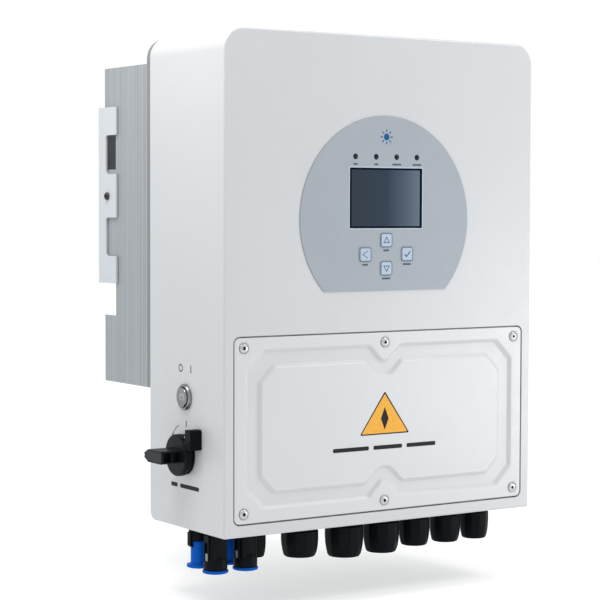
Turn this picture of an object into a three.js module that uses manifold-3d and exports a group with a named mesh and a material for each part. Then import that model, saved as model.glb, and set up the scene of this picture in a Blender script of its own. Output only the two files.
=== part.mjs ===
// A wall-hung string inverter for rooftop solar: a white sheet-metal case with a display and keys on the
// front, a screwed cover over the wiring compartment, a disconnect switch and a power button on the left
// side, panel connectors and cable glands below, and a finned heatsink held in a wall bracket behind.
// Units are millimetres and +Z is up. The origin is the middle of the wall bracket's rear face, and the
// front faces -Y. The pieces are drawn in the case's own frame (X = 0 at its middle, Y = 0 at its front
// face, Z = 0 at its bottom edge), which one group then moves to the wall frame.

import * as THREE from 'three';
import { mergeVertices } from 'three/addons/utils/BufferGeometryUtils.js';
import Module from 'manifold-3d';

const wasm = await Module();
wasm.setup();

// ---------------------------------------------------------------- driving dimensions

const CASE = { width: 330, height: 426, depth: 127, wall: 2.5, topRadius: 19, heelRadius: 8, edge: 1.6 };
const GAP = 0.3;                  // left between pieces that touch
const HALF = CASE.width / 2;
const PLATE = { rear: 133, bottom: 117, inset: 1 };      // the chassis plate behind the case
const SINK = { halfWidth: 159.4, bottom: 116, top: 403.5, base: 10, rear: 222.3, fins: 27, fin: 2.4 };
const SINK_NOTCH = { front: 200.6, spans: [[177, 213], [311, 347]] };
const BRACKET = { halfWidth: 161.8, sheet: 2, bottom: 206.6, top: 368, front: 196.3, rear: 232 };
const BRACKET_NOTCH = { rear: 216.1, spans: [[231.7, 267], [307, 342.4]] };
const BRACKET_SLOT = { x: 105, dz: 52, width: 9, length: 22 };
const BRACKET_SCREW = { y: 212, z: 286.6 };
const ORIGIN_HEIGHT = 287;        // height of the wall frame's origin above the case's bottom edge

const WIRING = { halfWidth: 154.5, bottom: 11.2, top: 167.8, corner: 5, sheet: 2, reveal: 1.2 };
const CHANNEL = { depth: 2.6, outer: [142, 23.5, 156.1, 17], inner: [128.5, 35.5, 143, 14] };
const LEDGE = { face: 4.6, thick: 2.5, halfWidth: 136, bottom: 29, top: 150 };
const SCREW = { columns: [-145.3, 0, 145.3], rows: [19.6, 159.1], head: 8.2, shank: 4, dimple: 10.4 };

const OVERLAY = { radius: 90, z: 266.5, chord: 204.4, back: -0.3, front: -0.8 };
const WINDOW = { halfWidth: 38.65, bottom: 259.05, top: 311.05 };
const LAMP = { z: 320.9, pitch: 22, radius: 2.4 };
const KEY = { size: 12.4, corner: 2.2, front: -1.6, back: -0.8, stem: 3, reach: 7.9 };
const KEYS = { up: [0, 248.4], back: [-22.5, 236.1], enter: [22.5, 236.1], down: [0, 223.8] };
const BOARD = { front: 8.6, thick: 1.6 };

const BUTTON = { y: 63.7, z: 114, flange: 11.3, barrel: 9.6, bore: 8.7, cap: 8.3, inside: -147 };
const SWITCH = { y: 64, z: 64.5, base: 17.2, knob: 18, knobFace: -175, gripFace: -195, gripWidth: 11 };
const LUG = { y: [35.6, 44.5], z: [71, 88.5], face: -176.5, tail: [55.6, 83.5, -174.5], clear: 18.6 };

const CONNECTOR = { columns: [-152, -122], front: 35, rear: 62 };
const GLAND_ROW = 52;             // depth of the row of glands behind the front face
// Middle of each gland, the diameters of its nut and of the flange above the nut, and its lower end.
const GLANDS = [
  { x: -102.4, nut: 20.6, flange: 21.4, end: -28 },
  { x: -55, nut: 34, flange: 34.8, end: -32 },
  { x: -7, nut: 35.6, flange: 34.6, end: -36.5 },
  { x: 34.2, nut: 33.6, flange: 32.6, end: -36.5 },
  { x: 71.7, nut: 29.2, flange: 28.2, end: -34 },
  { x: 107.6, nut: 29.2, flange: 28.2, end: -34 },
  { x: 142.2, nut: 27.4, flange: 26.4, end: -34 },
];
// How far the nut's thread and its bore lie inside the nut's rim, and where the flange ends.
const GLAND = { thread: 3.2, entry: 5.6, flangeEnd: -8 };

// ---------------------------------------------------------------- materials

function finish(color, roughness, metalness) {
  return new THREE.MeshStandardMaterial({ color, roughness, metalness });
}

const WHITE_PAINT = finish(0xe2e4e6, 0.5, 0.1);
const GREY_PAINT = finish(0xa4a7ab, 0.5, 0.3);
const ALUMINIUM = finish(0xabb0b5, 0.45, 0.8);
const BRACKET_PAINT = finish(0xd6dadd, 0.5, 0.2);
const STEEL = finish(0xc4c6c9, 0.3, 0.9);
const MEMBRANE = finish(0xb0b8c0, 0.45, 0);
const KEY_FILM = finish(0xc8d6e2, 0.5, 0);
const DARK_GLASS = finish(0x3c495a, 0.08, 0);
const LENS = finish(0x25272b, 0.3, 0);
const BLACK_NYLON = finish(0x1a1d21, 0.5, 0);
const BLUE_PLASTIC = finish(0x0f55b8, 0.4, 0);
const RUBBER = finish(0x2c2e31, 0.8, 0);
const CIRCUIT_BOARD = finish(0x1f6a45, 0.5, 0);
const CAN_SLEEVE = finish(0x232a4a, 0.4, 0);
const POTTING = finish(0x2b2b2d, 0.6, 0);
const TERMINAL_GREY = finish(0x8f959b, 0.5, 0);

// ---------------------------------------------------------------- solids

// A closed geometry as a solid, whichever way round its faces were drawn.
function solid(geometry) {
  const bare = geometry.clone();
  bare.deleteAttribute('normal');
  bare.deleteAttribute('uv');
  const merged = mergeVertices(bare, 1e-4);
  const position = merged.attributes.position.array;
  const corners = merged.index.array;
  const triangles = [];
  let volume = 0;
  for (let i = 0; i < corners.length; i += 3) {
    const [a, b, c] = [corners[i], corners[i + 1], corners[i + 2]];
    if (a === b || b === c || c === a) continue;
    triangles.push(a, b, c);
    const [p, q, r] = [a, b, c].map((k) => new THREE.Vector3().fromArray(position, 3 * k));
    volume += p.dot(q.cross(r));
  }
  if (volume < 0) triangles.reverse();
  const mesh = new wasm.Mesh({
    numProp: 3,
    vertProperties: new Float32Array(position),
    triVerts: new Uint32Array(triangles),
  });
  return new wasm.Manifold(mesh);
}

function geometryOf(shape) {
  const mesh = shape.getMesh();
  const indexed = new THREE.BufferGeometry();
  indexed.setAttribute('position', new THREE.BufferAttribute(mesh.vertProperties, 3));
  indexed.setIndex(new THREE.BufferAttribute(mesh.triVerts, 1));
  const geometry = indexed.toNonIndexed();
  geometry.computeVertexNormals();
  return geometry;
}

function piece(name, shape, material) {
  const mesh = new THREE.Mesh(geometryOf(shape), material);
  mesh.name = name;
  return mesh;
}

const join = (...shapes) => shapes.reduce((sum, shape) => sum.add(shape));
const cut = (shape, ...tools) => tools.reduce((rest, tool) => rest.subtract(tool), shape);

function box(x, y, z) {
  const geometry = new THREE.BoxGeometry(x[1] - x[0], y[1] - y[0], z[1] - z[0]);
  geometry.translate((x[0] + x[1]) / 2, (y[0] + y[1]) / 2, (z[0] + z[1]) / 2);
  return solid(geometry);
}

// An outline drawn in X and Z, made solid from depth y[0] to depth y[1].
function panel(outline, y, curveSegments = 4) {
  const depth = y[1] - y[0];
  const geometry = new THREE.ExtrudeGeometry(outline, { depth, bevelEnabled: false, curveSegments });
  geometry.rotateX(Math.PI / 2);
  geometry.translate(0, y[1], 0);
  return solid(geometry);
}

// An outline drawn in Y and Z, made solid from x[0] to x[1].
function sideways(outline, x, curveSegments = 4) {
  const depth = x[1] - x[0];
  const geometry = new THREE.ExtrudeGeometry(outline, { depth, bevelEnabled: false, curveSegments });
  const turn = new THREE.Matrix4().makeBasis(
    new THREE.Vector3(0, 1, 0), new THREE.Vector3(0, 0, 1), new THREE.Vector3(1, 0, 0));
  geometry.applyMatrix4(turn);
  geometry.translate(x[0], 0, 0);
  return solid(geometry);
}

// An outline drawn in X and Y, made solid from z[0] to z[1].
function upright(outline, z, curveSegments = 4) {
  const depth = z[1] - z[0];
  const geometry = new THREE.ExtrudeGeometry(outline, { depth, bevelEnabled: false, curveSegments });
  geometry.translate(0, 0, z[0]);
  return solid(geometry);
}

// A profile of [radius, distance along the axis] turned about an axis through a point. A profile that
// doesn't start and end on the axis is closed on itself, so it makes a ring.
function turned(profile, axis, at, segments = 14) {
  const points = profile.map(([radius, along]) => new THREE.Vector2(radius, along));
  if (profile[0][0] > 0) points.push(points[0].clone());
  const geometry = new THREE.LatheGeometry(points, segments);
  if (axis === 'x') geometry.rotateZ(-Math.PI / 2);
  if (axis === 'z') geometry.rotateX(Math.PI / 2);
  geometry.translate(...at);
  return solid(geometry);
}

function rod(radius, along, axis, at, segments = 14) {
  const [start, end] = along;
  return turned([[0, start], [radius, start], [radius, end], [0, end]], axis, at, segments);
}

function polygon(points) {
  return new THREE.Shape(points.map(([a, b]) => new THREE.Vector2(a, b)));
}

// A rectangle with rounded corners; radii run from the low-low corner round through high-low.
function rounded(a, b, radii) {
  const [lowLow, highLow, highHigh, lowHigh] = Array.isArray(radii) ? radii : Array(4).fill(radii);
  const shape = new THREE.Shape();
  shape.moveTo(a[0] + lowLow, b[0]);
  shape.lineTo(a[1] - highLow, b[0]);
  if (highLow) shape.absarc(a[1] - highLow, b[0] + highLow, highLow, -Math.PI / 2, 0);
  shape.lineTo(a[1], b[1] - highHigh);
  if (highHigh) shape.absarc(a[1] - highHigh, b[1] - highHigh, highHigh, 0, Math.PI / 2);
  shape.lineTo(a[0] + lowHigh, b[1]);
  if (lowHigh) shape.absarc(a[0] + lowHigh, b[1] - lowHigh, lowHigh, Math.PI / 2, Math.PI);
  shape.lineTo(a[0], b[0] + lowLow);
  if (lowLow) shape.absarc(a[0] + lowLow, b[0] + lowLow, lowLow, Math.PI, 1.5 * Math.PI);
  return shape;
}

// A six-sided prism between two heights.
function hexagon(acrossFlats, z, at) {
  const radius = acrossFlats / Math.sqrt(3);
  const corners = [0, 1, 2, 3, 4, 5].map((k) => [
    at[0] + radius * Math.cos(k * Math.PI / 3), at[1] + radius * Math.sin(k * Math.PI / 3)]);
  return upright(polygon(corners), z);
}

// ---------------------------------------------------------------- case and chassis

function caseOutline(inset) {
  const radius = CASE.topRadius - inset;
  return rounded([inset - HALF, HALF - inset], [0, CASE.height - inset], [0, 0, radius, radius]);
}

// The case's outer body, whose face is a little smaller, for the soft front edge.
function caseBlock() {
  const round = CASE.edge;
  const body = panel(caseOutline(0), [round, CASE.depth]);
  const face = panel(caseOutline(round * 0.4), [0, round]);
  return join(body, face);
}

function frontCover() {
  const inside = panel(caseOutline(CASE.wall), [CASE.wall, CASE.depth + 1]);
  const openBottom = box([CASE.wall - HALF, HALF - CASE.wall], [CASE.wall, CASE.depth + 1], [-1, 1]);
  const heel = CASE.heelRadius;
  const heelCut = polygon([[CASE.depth - heel, -1], [CASE.depth + 1, -1], [CASE.depth + 1, heel]]);
  heelCut.lineTo(CASE.depth, heel);
  heelCut.absarc(CASE.depth - heel, heel, heel, 0, -Math.PI / 2, true);
  const shell = cut(caseBlock(), inside, openBottom, sideways(heelCut, [-HALF - 1, HALF + 1]));

  const rim = WIRING.reveal;
  const pocket = [WIRING.halfWidth + rim, WIRING.bottom - rim, WIRING.top + rim];
  const wall = CASE.wall;
  const pad = panel(rounded([-pocket[0] - wall, pocket[0] + wall], [pocket[1] - wall, pocket[2] + wall], 8),
    [0.6, LEDGE.face + LEDGE.thick]);
  const recess = panel(rounded([-pocket[0], pocket[0]], [pocket[1], pocket[2]], WIRING.corner + rim),
    [-1, LEDGE.face]);
  const access = panel(rounded([-LEDGE.halfWidth, LEDGE.halfWidth], [LEDGE.bottom, LEDGE.top], 10), [-1, 10]);
  const pillars = [-50, 50].flatMap((x) => [218, 326].map((z) => rod(3.5, [2, 8.3], 'y', [x, 0, z], 8)));

  const viewing = box([-WINDOW.halfWidth - GAP, WINDOW.halfWidth + GAP], [-1, 3],
    [WINDOW.bottom - GAP, WINDOW.top + GAP]);
  const keyHoles = Object.values(KEYS).map(([x, z]) => rod(KEY.stem + 0.6, [-1, 3], 'y', [x, 0, z]));
  const lampHoles = lampPlaces().map((x) => rod(LAMP.radius + GAP, [-1, 3], 'y', [x, 0, LAMP.z], 10));
  const screwHoles = screwPlaces().map(([x, z]) => rod(SCREW.shank / 2 + GAP, [3, 9], 'y', [x, 0, z], 12));
  const buttonHole = rod(BUTTON.barrel + GAP, [-HALF - 2, -HALF + 6], 'x', [0, BUTTON.y, BUTTON.z], 20);
  const switchHole = rod(7, [-HALF - 2, -HALF + 6], 'x', [0, SWITCH.y, SWITCH.z]);
  const lugHoles = lugPins().map(([y, z]) => rod(1.8, [-HALF - 2, -HALF + 6], 'x', [0, y, z], 8));
  return cut(join(shell, pad, ...pillars), recess, access, viewing, ...keyHoles, ...lampHoles,
    ...screwHoles, buttonHole, switchHole, ...lugHoles);
}

// The tray that everything is screwed to: a bottom plate, a rear wall inside the case and a thicker
// plate standing out behind it, which carries the heatsink.
function rearChassis() {
  const wall = CASE.wall;
  const side = HALF - wall - GAP;
  const front = wall + GAP;
  const rear = CASE.depth - GAP;
  const heel = CASE.heelRadius;
  const tray = new THREE.Shape();
  tray.moveTo(front, 0);
  tray.lineTo(rear - heel, 0);
  tray.absarc(rear - heel, heel, heel, -Math.PI / 2, 0);
  tray.lineTo(rear, 398);
  tray.lineTo(rear - wall, 398);
  tray.lineTo(rear - wall, heel);
  tray.absarc(rear - heel, heel, heel - wall, 0, -Math.PI / 2, true);
  tray.lineTo(front, wall);
  const lower = sideways(tray, [-side, side]);
  const radius = CASE.topRadius - wall - GAP;
  const upper = panel(rounded([-side, side], [390, CASE.height - wall - GAP], [0, 0, radius, radius]),
    [rear - wall, CASE.depth + GAP + 1]);
  const inset = PLATE.inset;
  const corner = CASE.topRadius - inset;
  const plate = panel(rounded([inset - HALF, HALF - inset], [PLATE.bottom, CASE.height - inset],
    [0, 0, corner, corner]), [CASE.depth + GAP, PLATE.rear]);
  const bridge = box([-side, side], [rear - 0.5, CASE.depth + 1], [PLATE.bottom, 400]);
  const glandHoles = GLANDS.map((gland) => rod(threadRadius(gland) + GAP, [-1, 5], 'z',
    [gland.x, GLAND_ROW, 0]));
  const connectorHoles = connectorPlaces().map(([x, y]) => rod(6.3, [-1, 5], 'z', [x, y, 0]));
  return cut(join(lower, upper, plate, bridge), ...glandHoles, ...connectorHoles);
}

// ---------------------------------------------------------------- wiring cover

const screwPlaces = () => SCREW.rows.flatMap((z) => SCREW.columns.map((x) => [x, z]));

// A contour of the pressed channel: a chamfered rectangle that steps in around the middle screws.
function channelContour([halfWidth, bottom, top, chamfer], flat, shoulder, step) {
  const right = [
    [flat, bottom + step], [shoulder, bottom], [halfWidth - chamfer, bottom], [halfWidth, bottom + chamfer],
    [halfWidth, top - chamfer], [halfWidth - chamfer, top], [shoulder, top], [flat, top - step],
  ];
  const left = right.map(([x, z]) => [-x, z]).reverse();
  return polygon([...right, ...left]);
}

function wiringCover() {
  const sheet = WIRING.sheet;
  const { outer, inner, depth } = CHANNEL;
  const skin = 0.9;
  const plate = panel(rounded([-WIRING.halfWidth, WIRING.halfWidth], [WIRING.bottom, WIRING.top],
    WIRING.corner), [0, sheet]);
  const grow = ([halfWidth, bottom, top, chamfer], by) => [halfWidth + by, bottom - by, top + by, chamfer];
  const step = 13.5;
  const channel = cut(panel(channelContour(outer, 10, 20, step), [-1, depth]),
    panel(channelContour(inner, 14, 26, step), [-2, depth + 1]));
  const swelling = cut(panel(channelContour(grow(outer, skin), 10, 20, step), [sheet / 2, depth + skin]),
    panel(channelContour(grow(inner, -skin), 14, 26, step), [-1, depth + 2]));
  const dimples = screwPlaces().map(([x, z]) => rod(SCREW.dimple / 2, [-1, 1], 'y', [x, 0, z]));
  const holes = screwPlaces().map(([x, z]) => rod(SCREW.shank / 2 + GAP, [-1, 5], 'y', [x, 0, z], 12));
  return cut(join(plate, swelling), channel, ...dimples, ...holes);
}

function wiringGasket() {
  const edge = WIRING.halfWidth - 0.5;
  const bottom = WIRING.bottom + 0.5;
  const top = WIRING.top - 0.5;
  const width = 4;
  const ring = panel(rounded([-edge, edge], [bottom, top], 4.5), [WIRING.sheet + GAP, LEDGE.face - GAP]);
  const inside = panel(rounded([width - edge, edge - width], [bottom + width, top - width], 1.5), [0, 9]);
  return cut(ring, inside);
}

function coverScrew([x, z]) {
  const head = SCREW.head / 2;
  const shank = SCREW.shank / 2;
  const body = turned([[0, -0.9], [head * 0.62, -0.9], [head * 0.9, -0.45], [head, 0], [head, 0.7],
    [shank, 0.7], [shank, 11], [0, 12]], 'y', [x, 0, z], 12);
  const socket = panel(polygon([0, 1, 2, 3, 4, 5].map((k) => [
    x + 1.6 * Math.cos(k * Math.PI / 3), z + 1.6 * Math.sin(k * Math.PI / 3)])), [-2, 0.1]);
  return cut(body, socket);
}

// ---------------------------------------------------------------- display and keys

const lampPlaces = () => [-1.5, -0.5, 0.5, 1.5].map((k) => k * LAMP.pitch);

function displayOverlay() {
  const { radius, z, chord } = OVERLAY;
  const half = Math.asin((z - chord) / radius);
  const disc = new THREE.Shape();
  disc.absarc(0, z, radius, -half, Math.PI + half);
  const sheet = panel(disc, [OVERLAY.front, OVERLAY.back], 40);
  const window = box([-WINDOW.halfWidth - GAP, WINDOW.halfWidth + GAP], [-2, 1],
    [WINDOW.bottom - GAP, WINDOW.top + GAP]);
  const reach = KEY.size / 2 + GAP;
  const keyHoles = Object.values(KEYS).map(([x, y]) => panel(
    rounded([x - reach, x + reach], [y - reach, y + reach], KEY.corner + GAP), [-2, 1], 1));
  const lampHoles = lampPlaces().map((x) => rod(LAMP.radius + 0.2, [-2, 1], 'y', [x, 0, LAMP.z], 10));
  return cut(sheet, window, ...keyHoles, ...lampHoles);
}

function displayWindow() {
  return box([-WINDOW.halfWidth, WINDOW.halfWidth], [-1, 1.2], [WINDOW.bottom, WINDOW.top]);
}

function lcdModule() {
  const frame = box([-44, 44], [3, 7.9], [254.5, 316]);
  const recess = box([-38, 38], [2, 4], [259.5, 310.5]);
  return cut(frame, recess);
}

function displayBoard() {
  const board = box([-56, 56], [BOARD.front, BOARD.front + BOARD.thick], [212, 332]);
  const parts = [
    box([-30, -8], [BOARD.front + 1, 14], [225, 247]),
    box([10, 40], [BOARD.front + 1, 16], [222, 232]),
    box([-45, 45], [BOARD.front + 1, 13], [318, 326]),
  ];
  return join(board, ...parts);
}

function key([x, z]) {
  const reach = KEY.size / 2;
  const cap = panel(rounded([x - reach, x + reach], [z - reach, z + reach], KEY.corner),
    [KEY.front, KEY.back], 1);
  const stem = rod(KEY.stem, [KEY.back - 0.4, KEY.reach], 'y', [x, 0, z]);
  return join(cap, stem);
}

function lamp(x) {
  const { radius, z } = LAMP;
  return turned([[0, -1.1], [radius * 0.7, -1], [radius, -0.7], [radius, 8.2], [0, 8.2]], 'y', [x, 0, z], 10);
}

// ---------------------------------------------------------------- power button and disconnect switch

function buttonBezel() {
  const { flange, barrel, bore, inside } = BUTTON;
  const outer = -HALF - GAP;
  const shelf = inside - 2;
  return turned([[bore, outer - 2.7], [flange - 0.9, outer - 2.7], [flange, outer - 1.6], [flange, outer],
    [barrel, outer], [barrel, inside], [5.2, inside], [5.2, shelf], [bore, shelf]],
  'x', [0, BUTTON.y, BUTTON.z], 20);
}

function buttonCap() {
  const face = -HALF - 4.2;
  const { cap, inside } = BUTTON;
  const shoulder = inside - 6;
  return turned([[0, face], [cap - 0.6, face], [cap, face + 0.6], [cap, shoulder], [4, shoulder],
    [4, inside + 8], [0, inside + 8]], 'x', [0, BUTTON.y, BUTTON.z], 20);
}

function buttonNut() {
  const front = CASE.wall - HALF + GAP;
  const radius = 27 / Math.sqrt(3);
  const corners = [0, 1, 2, 3, 4, 5].map((k) => [
    BUTTON.y + radius * Math.cos(k * Math.PI / 3), BUTTON.z + radius * Math.sin(k * Math.PI / 3)]);
  const bore = rod(BUTTON.barrel + GAP, [front - 1, front + 5], 'x', [0, BUTTON.y, BUTTON.z], 20);
  return cut(sideways(polygon(corners), [front, front + 4]), bore);
}

function switchBase() {
  const outer = -HALF - GAP;
  return turned([[6, outer - 3.2], [SWITCH.base - 0.8, outer - 3.2], [SWITCH.base, outer - 2.4],
    [SWITCH.base, outer], [6, outer]], 'x', [0, SWITCH.y, SWITCH.z], 28);
}

// The disc and the bar across it turn on a shaft that reaches the contact block inside the case. The bar
// ends in a notched point and has a cored pocket of two cells in its blunt end.
function switchKnob() {
  const { y, z, knob, knobFace, gripFace, gripWidth } = SWITCH;
  const back = -HALF - GAP - 3.5;
  const disc = turned([[0, knobFace], [knob - 1.2, knobFace], [knob, knobFace + 1.2], [knob, back],
    [0, back]], 'x', [0, y, z], 28);
  const half = gripWidth / 2;
  const bar = polygon([
    [y - 12.2, z - half], [y + 12, z - half], [y + 17.5, z - 2.2], [y + 18.7, z - 1.6], [y + 17, z],
    [y + 18.7, z + 1.6], [y + 17.5, z + 2.2], [y + 12, z + half], [y - 12.2, z + half],
  ]);
  const grip = sideways(bar, [gripFace, knobFace + 1]);
  const cells = [[gripFace + 2, gripFace + 9.3], [gripFace + 11, gripFace + 18.3]].map((x) => box(
    x, [y - 13, y - 6], [z - half + 2.2, z + half - 2.2]));
  const shaft = rod(4.5, [back - 1, -150], 'x', [0, y, z], 20);
  return cut(join(disc, grip, shaft), ...cells);
}

function switchBody() {
  const front = CASE.wall - HALF + GAP;
  const { y, z } = SWITCH;
  const block = box([front, -104], [y - 24, y + 24], [z - 24, z + 24]);
  const steps = [-150, -136, -122].map((x) => cut(box([x, x + 7], [y - 30, y + 30], [z - 20, z + 20]),
    box([x - 1, x + 8], [y - 20, y + 20], [z - 30, z + 30])));
  const bore = rod(5, [front - 1, -148], 'x', [0, y, z], 20);
  return cut(join(block, ...steps), bore);
}

const lugPins = () => [[37.8, 76], [37.8, 84]];

// A padlock lug beside the knob. Its lower, thinner tail is hollowed to follow the knob's rim.
function lockLug() {
  const outer = -HALF - GAP;
  const [low, high] = LUG.y;
  const [tailEnd, tailTop, tailFace] = LUG.tail;
  const block = sideways(rounded([low, high], LUG.z, [1, 1, 1, 2]), [LUG.face, outer]);
  const tail = box([tailFace, outer], [high - 2, tailEnd], [LUG.z[0], tailTop]);
  const clearance = rod(LUG.clear, [LUG.face - 1, outer + 1], 'x', [0, SWITCH.y, SWITCH.z], 28);
  const groove = box([tailFace - 1, tailFace + 1.5], [high, tailEnd + 1], [78.6, 80]);
  const pins = lugPins().map(([y, z]) => rod(1.5, [outer - 1, -158], 'x', [0, y, z], 8));
  return join(cut(join(block, tail), clearance, groove), ...pins);
}

// ---------------------------------------------------------------- heatsink and wall bracket

function heatsink() {
  const { halfWidth, base, rear, fins, fin } = SINK;
  const front = PLATE.rear + GAP;
  const root = front + base;
  const pitch = (2 * halfWidth - fin) / (fins - 1);
  const comb = [[-halfWidth, front], [halfWidth, front]];
  for (let k = fins - 1; k >= 0; k -= 1) {
    const left = -halfWidth + k * pitch;
    comb.push([left + fin, root], [left + fin, rear], [left, rear], [left, root]);
  }
  const block = upright(polygon(dropRepeats(comb)), [SINK.bottom, SINK.top]);
  const notches = SINK_NOTCH.spans.map((z) => box([-halfWidth - 1, halfWidth + 1],
    [SINK_NOTCH.front, rear + 1], z));
  const reach = [halfWidth - 6, halfWidth + 1];
  const screwHoles = [reach, [-reach[1], -reach[0]]].map((x) => rod(
    2.6, x, 'x', [0, BRACKET_SCREW.y, BRACKET_SCREW.z], 12));
  return cut(block, ...notches, ...screwHoles);
}

// The outermost fins stand flush with the base, so their outer root corners lie on its sides.
function dropRepeats(points) {
  const half = SINK.halfWidth;
  const root = PLATE.rear + GAP + SINK.base;
  return points.filter(([x, y]) => !(Math.abs(Math.abs(x) - half) < 1e-6 && Math.abs(y - root) < 1e-6));
}

function wallBracket() {
  const { halfWidth, sheet, bottom, top, front, rear } = BRACKET;
  const bend = 3;
  const outer = rounded([-halfWidth, halfWidth], [front, rear], [0, 0, bend, bend]);
  const inner = rounded([sheet - halfWidth, halfWidth - sheet], [front - 1, rear - sheet - 0.5],
    [0, 0, bend - 1, bend - 1]);
  const tray = cut(upright(outer, [bottom, top], 2), upright(inner, [bottom - 1, top + 1], 2));
  const notches = BRACKET_NOTCH.spans.map((z) => box([-halfWidth - 1, halfWidth + 1],
    [front - 1, BRACKET_NOTCH.rear], z));
  const { x, dz, width, length } = BRACKET_SLOT;
  const middle = (bottom + top) / 2;
  const slots = [-x, x].flatMap((at) => [-dz, dz].map((rise) => panel(rounded(
    [at - width / 2, at + width / 2], [middle + rise - length / 2, middle + rise + length / 2],
    width / 2 - 0.1), [rear - 6, rear + 1], 2)));
  const screwHoles = rod(2.6, [-halfWidth - 1, halfWidth + 1], 'x',
    [0, BRACKET_SCREW.y, BRACKET_SCREW.z], 12);
  return cut(tray, ...notches, ...slots, screwHoles);
}

function bracketScrew(side) {
  const face = BRACKET.halfWidth + GAP;
  const profile = [[0, face + 2.6], [2.4, face + 2.6], [3.6, face + 1.2], [3.6, face], [2, face],
    [2, face - 7], [0, face - 7]].map(([radius, along]) => [radius, side * along]);
  return turned(profile, 'x', [0, BRACKET_SCREW.y, BRACKET_SCREW.z], 12);
}

// ---------------------------------------------------------------- panel connectors and dust caps

const connectorPlaces = () => [CONNECTOR.front, CONNECTOR.rear].flatMap((y) => CONNECTOR.columns.map(
  (x) => [x, y]));

// The spigot that passes through the bottom plate, with its nut above the plate.
function panelSpigot(x, y) {
  const neck = rod(6, [-2, 20], 'z', [x, y, 0]);
  const nut = hexagon(17, [CASE.wall + GAP, 8], [x, y]);
  return join(neck, nut);
}

// A socket that a lead's plug pushes into from below: a square body with a window for the plug's latch
// on each side and a round mouth.
function socketConnector(x, y) {
  const body = upright(rounded([x - 7.8, x + 7.8], [y - 7.8, y + 7.8], 2.2), [-31.5, -GAP], 1);
  const wings = upright(rounded([x - 9.4, x + 9.4], [y - 4.6, y + 4.6], 1.2), [-26, -GAP], 1);
  const mouth = turned([[0, -31.5], [10.4, -31.5], [10.4, -28.5], [8.6, -25], [0, -25]], 'z', [x, y, 0]);
  const bore = rod(5.3, [-34, -14], 'z', [x, y, 0]);
  const latches = box([x - 12, x + 12], [y - 3.1, y + 3.1], [-24.5, -17.5]);
  const keep = box([x - 7, x + 7], [y - 5, y + 5], [-27, -15]);
  return cut(join(body, wings, mouth, panelSpigot(x, y)), cut(latches, keep), bore);
}

// A plug-type connector: a collar with two latch prongs around a slim nose.
function prongConnector(x, y) {
  const collar = turned([[0, -10], [8.4, -10], [9.2, -8.6], [9.2, -GAP], [0, -GAP]], 'z', [x, y, 0]);
  const nose = rod(4, [-24, -9], 'z', [x, y, 0]);
  const prongs = [-1, 1].map((side) => box([x + side * 9.4 - 1.1, x + side * 9.4 + 1.1],
    [y - 2.6, y + 2.6], [-16, -3]));
  return join(collar, nose, ...prongs, panelSpigot(x, y));
}

function plugCap(x, y) {
  return turned([[0, -34.5], [10.6, -34.5], [11.4, -33.8], [11.4, -32.4], [10.9, -31.8], [4.8, -31.8],
    [4.8, -20], [4, -18.5], [0, -18.5]], 'z', [x, y, 0]);
}

function cupCap(x, y) {
  return turned([[0, -33.6], [10.4, -33.6], [11, -32.8], [10.4, -31.2], [8.2, -29.6], [7.6, -27],
    [7.6, -10.6], [4.4, -10.6], [4.4, -26], [0, -26]], 'z', [x, y, 0]);
}

// ---------------------------------------------------------------- cable glands

const threadRadius = (gland) => gland.nut / 2 - GLAND.thread;
const entryRadius = (gland) => gland.nut / 2 - GLAND.entry;

function glandBody(gland) {
  const at = [gland.x, GLAND_ROW, 0];
  const low = GLAND.flangeEnd;
  const radius = gland.flange / 2;
  const flange = turned([[0, low], [radius - 0.6, low], [radius, low + 0.6], [radius, -GAP],
    [0, -GAP]], 'z', at);
  const neck = rod(threadRadius(gland), [gland.end + 8, 13], 'z', at);
  const bore = rod(entryRadius(gland), [gland.end, 14], 'z', at);
  return cut(join(flange, neck), bore);
}

// The nut screws up over the neck, and its domed mouth closes in to the width of the bore.
function glandNut(gland) {
  const outer = gland.nut / 2;
  const thread = threadRadius(gland) + GAP;
  const entry = entryRadius(gland);
  const { end } = gland;
  const top = GLAND.flangeEnd - GAP;
  const mouth = Math.max(outer * 0.66, entry + 1);
  const rise = (share) => end + share * (top - end);
  return turned([[entry, end], [mouth, end], [outer * 0.85, rise(0.05)], [outer * 0.93, rise(0.18)],
    [outer * 0.98, rise(0.42)], [outer, rise(0.7)], [outer, top - 0.8], [outer - 0.6, top],
    [thread, top], [thread, end + 7], [entry, end + 6]], 'z', [gland.x, GLAND_ROW, 0]);
}

// ---------------------------------------------------------------- inside the case

function mainPowerBoard() {
  const board = box([-150, 150], [108, 110], [178, 410]);
  const posts = [-140, 140].flatMap((x) => [188, 400].map((z) => rod(4, [109, 124.1], 'y', [x, 0, z])));
  const switches = [-120, -80, -40, 0, 40, 80, 120].map((x) => box([x - 9, x + 9], [103, 109], [250, 276]));
  return join(board, ...posts, ...switches);
}

function inductor() {
  return turned([[12, 66], [36, 66], [38, 69], [38, 104], [36, 107.6], [12, 107.6]], 'y', [-95, 0, 345], 20);
}

function capacitorBank() {
  const holder = box([-30, 130], [98, 107.6], [300, 396]);
  const cans = [-8, 30, 68, 106].flatMap((x) => [324, 372].map((z) => turned(
    [[0, 62], [15.5, 62], [17, 63.5], [17, 100], [0, 100]], 'y', [x, 0, z], 12)));
  return join(holder, ...cans);
}

function controlBoard() {
  const board = box([-120, 120], [40, 41.6], [180, 310]);
  const parts = [
    box([-100, -60], [30, 40.5], [200, 230]), box([-20, 10], [36, 40.5], [230, 260]),
    box([50, 100], [28, 40.5], [190, 210]), box([-110, 110], [33, 40.5], [292, 302]),
  ];
  return join(board, ...parts);
}

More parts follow.
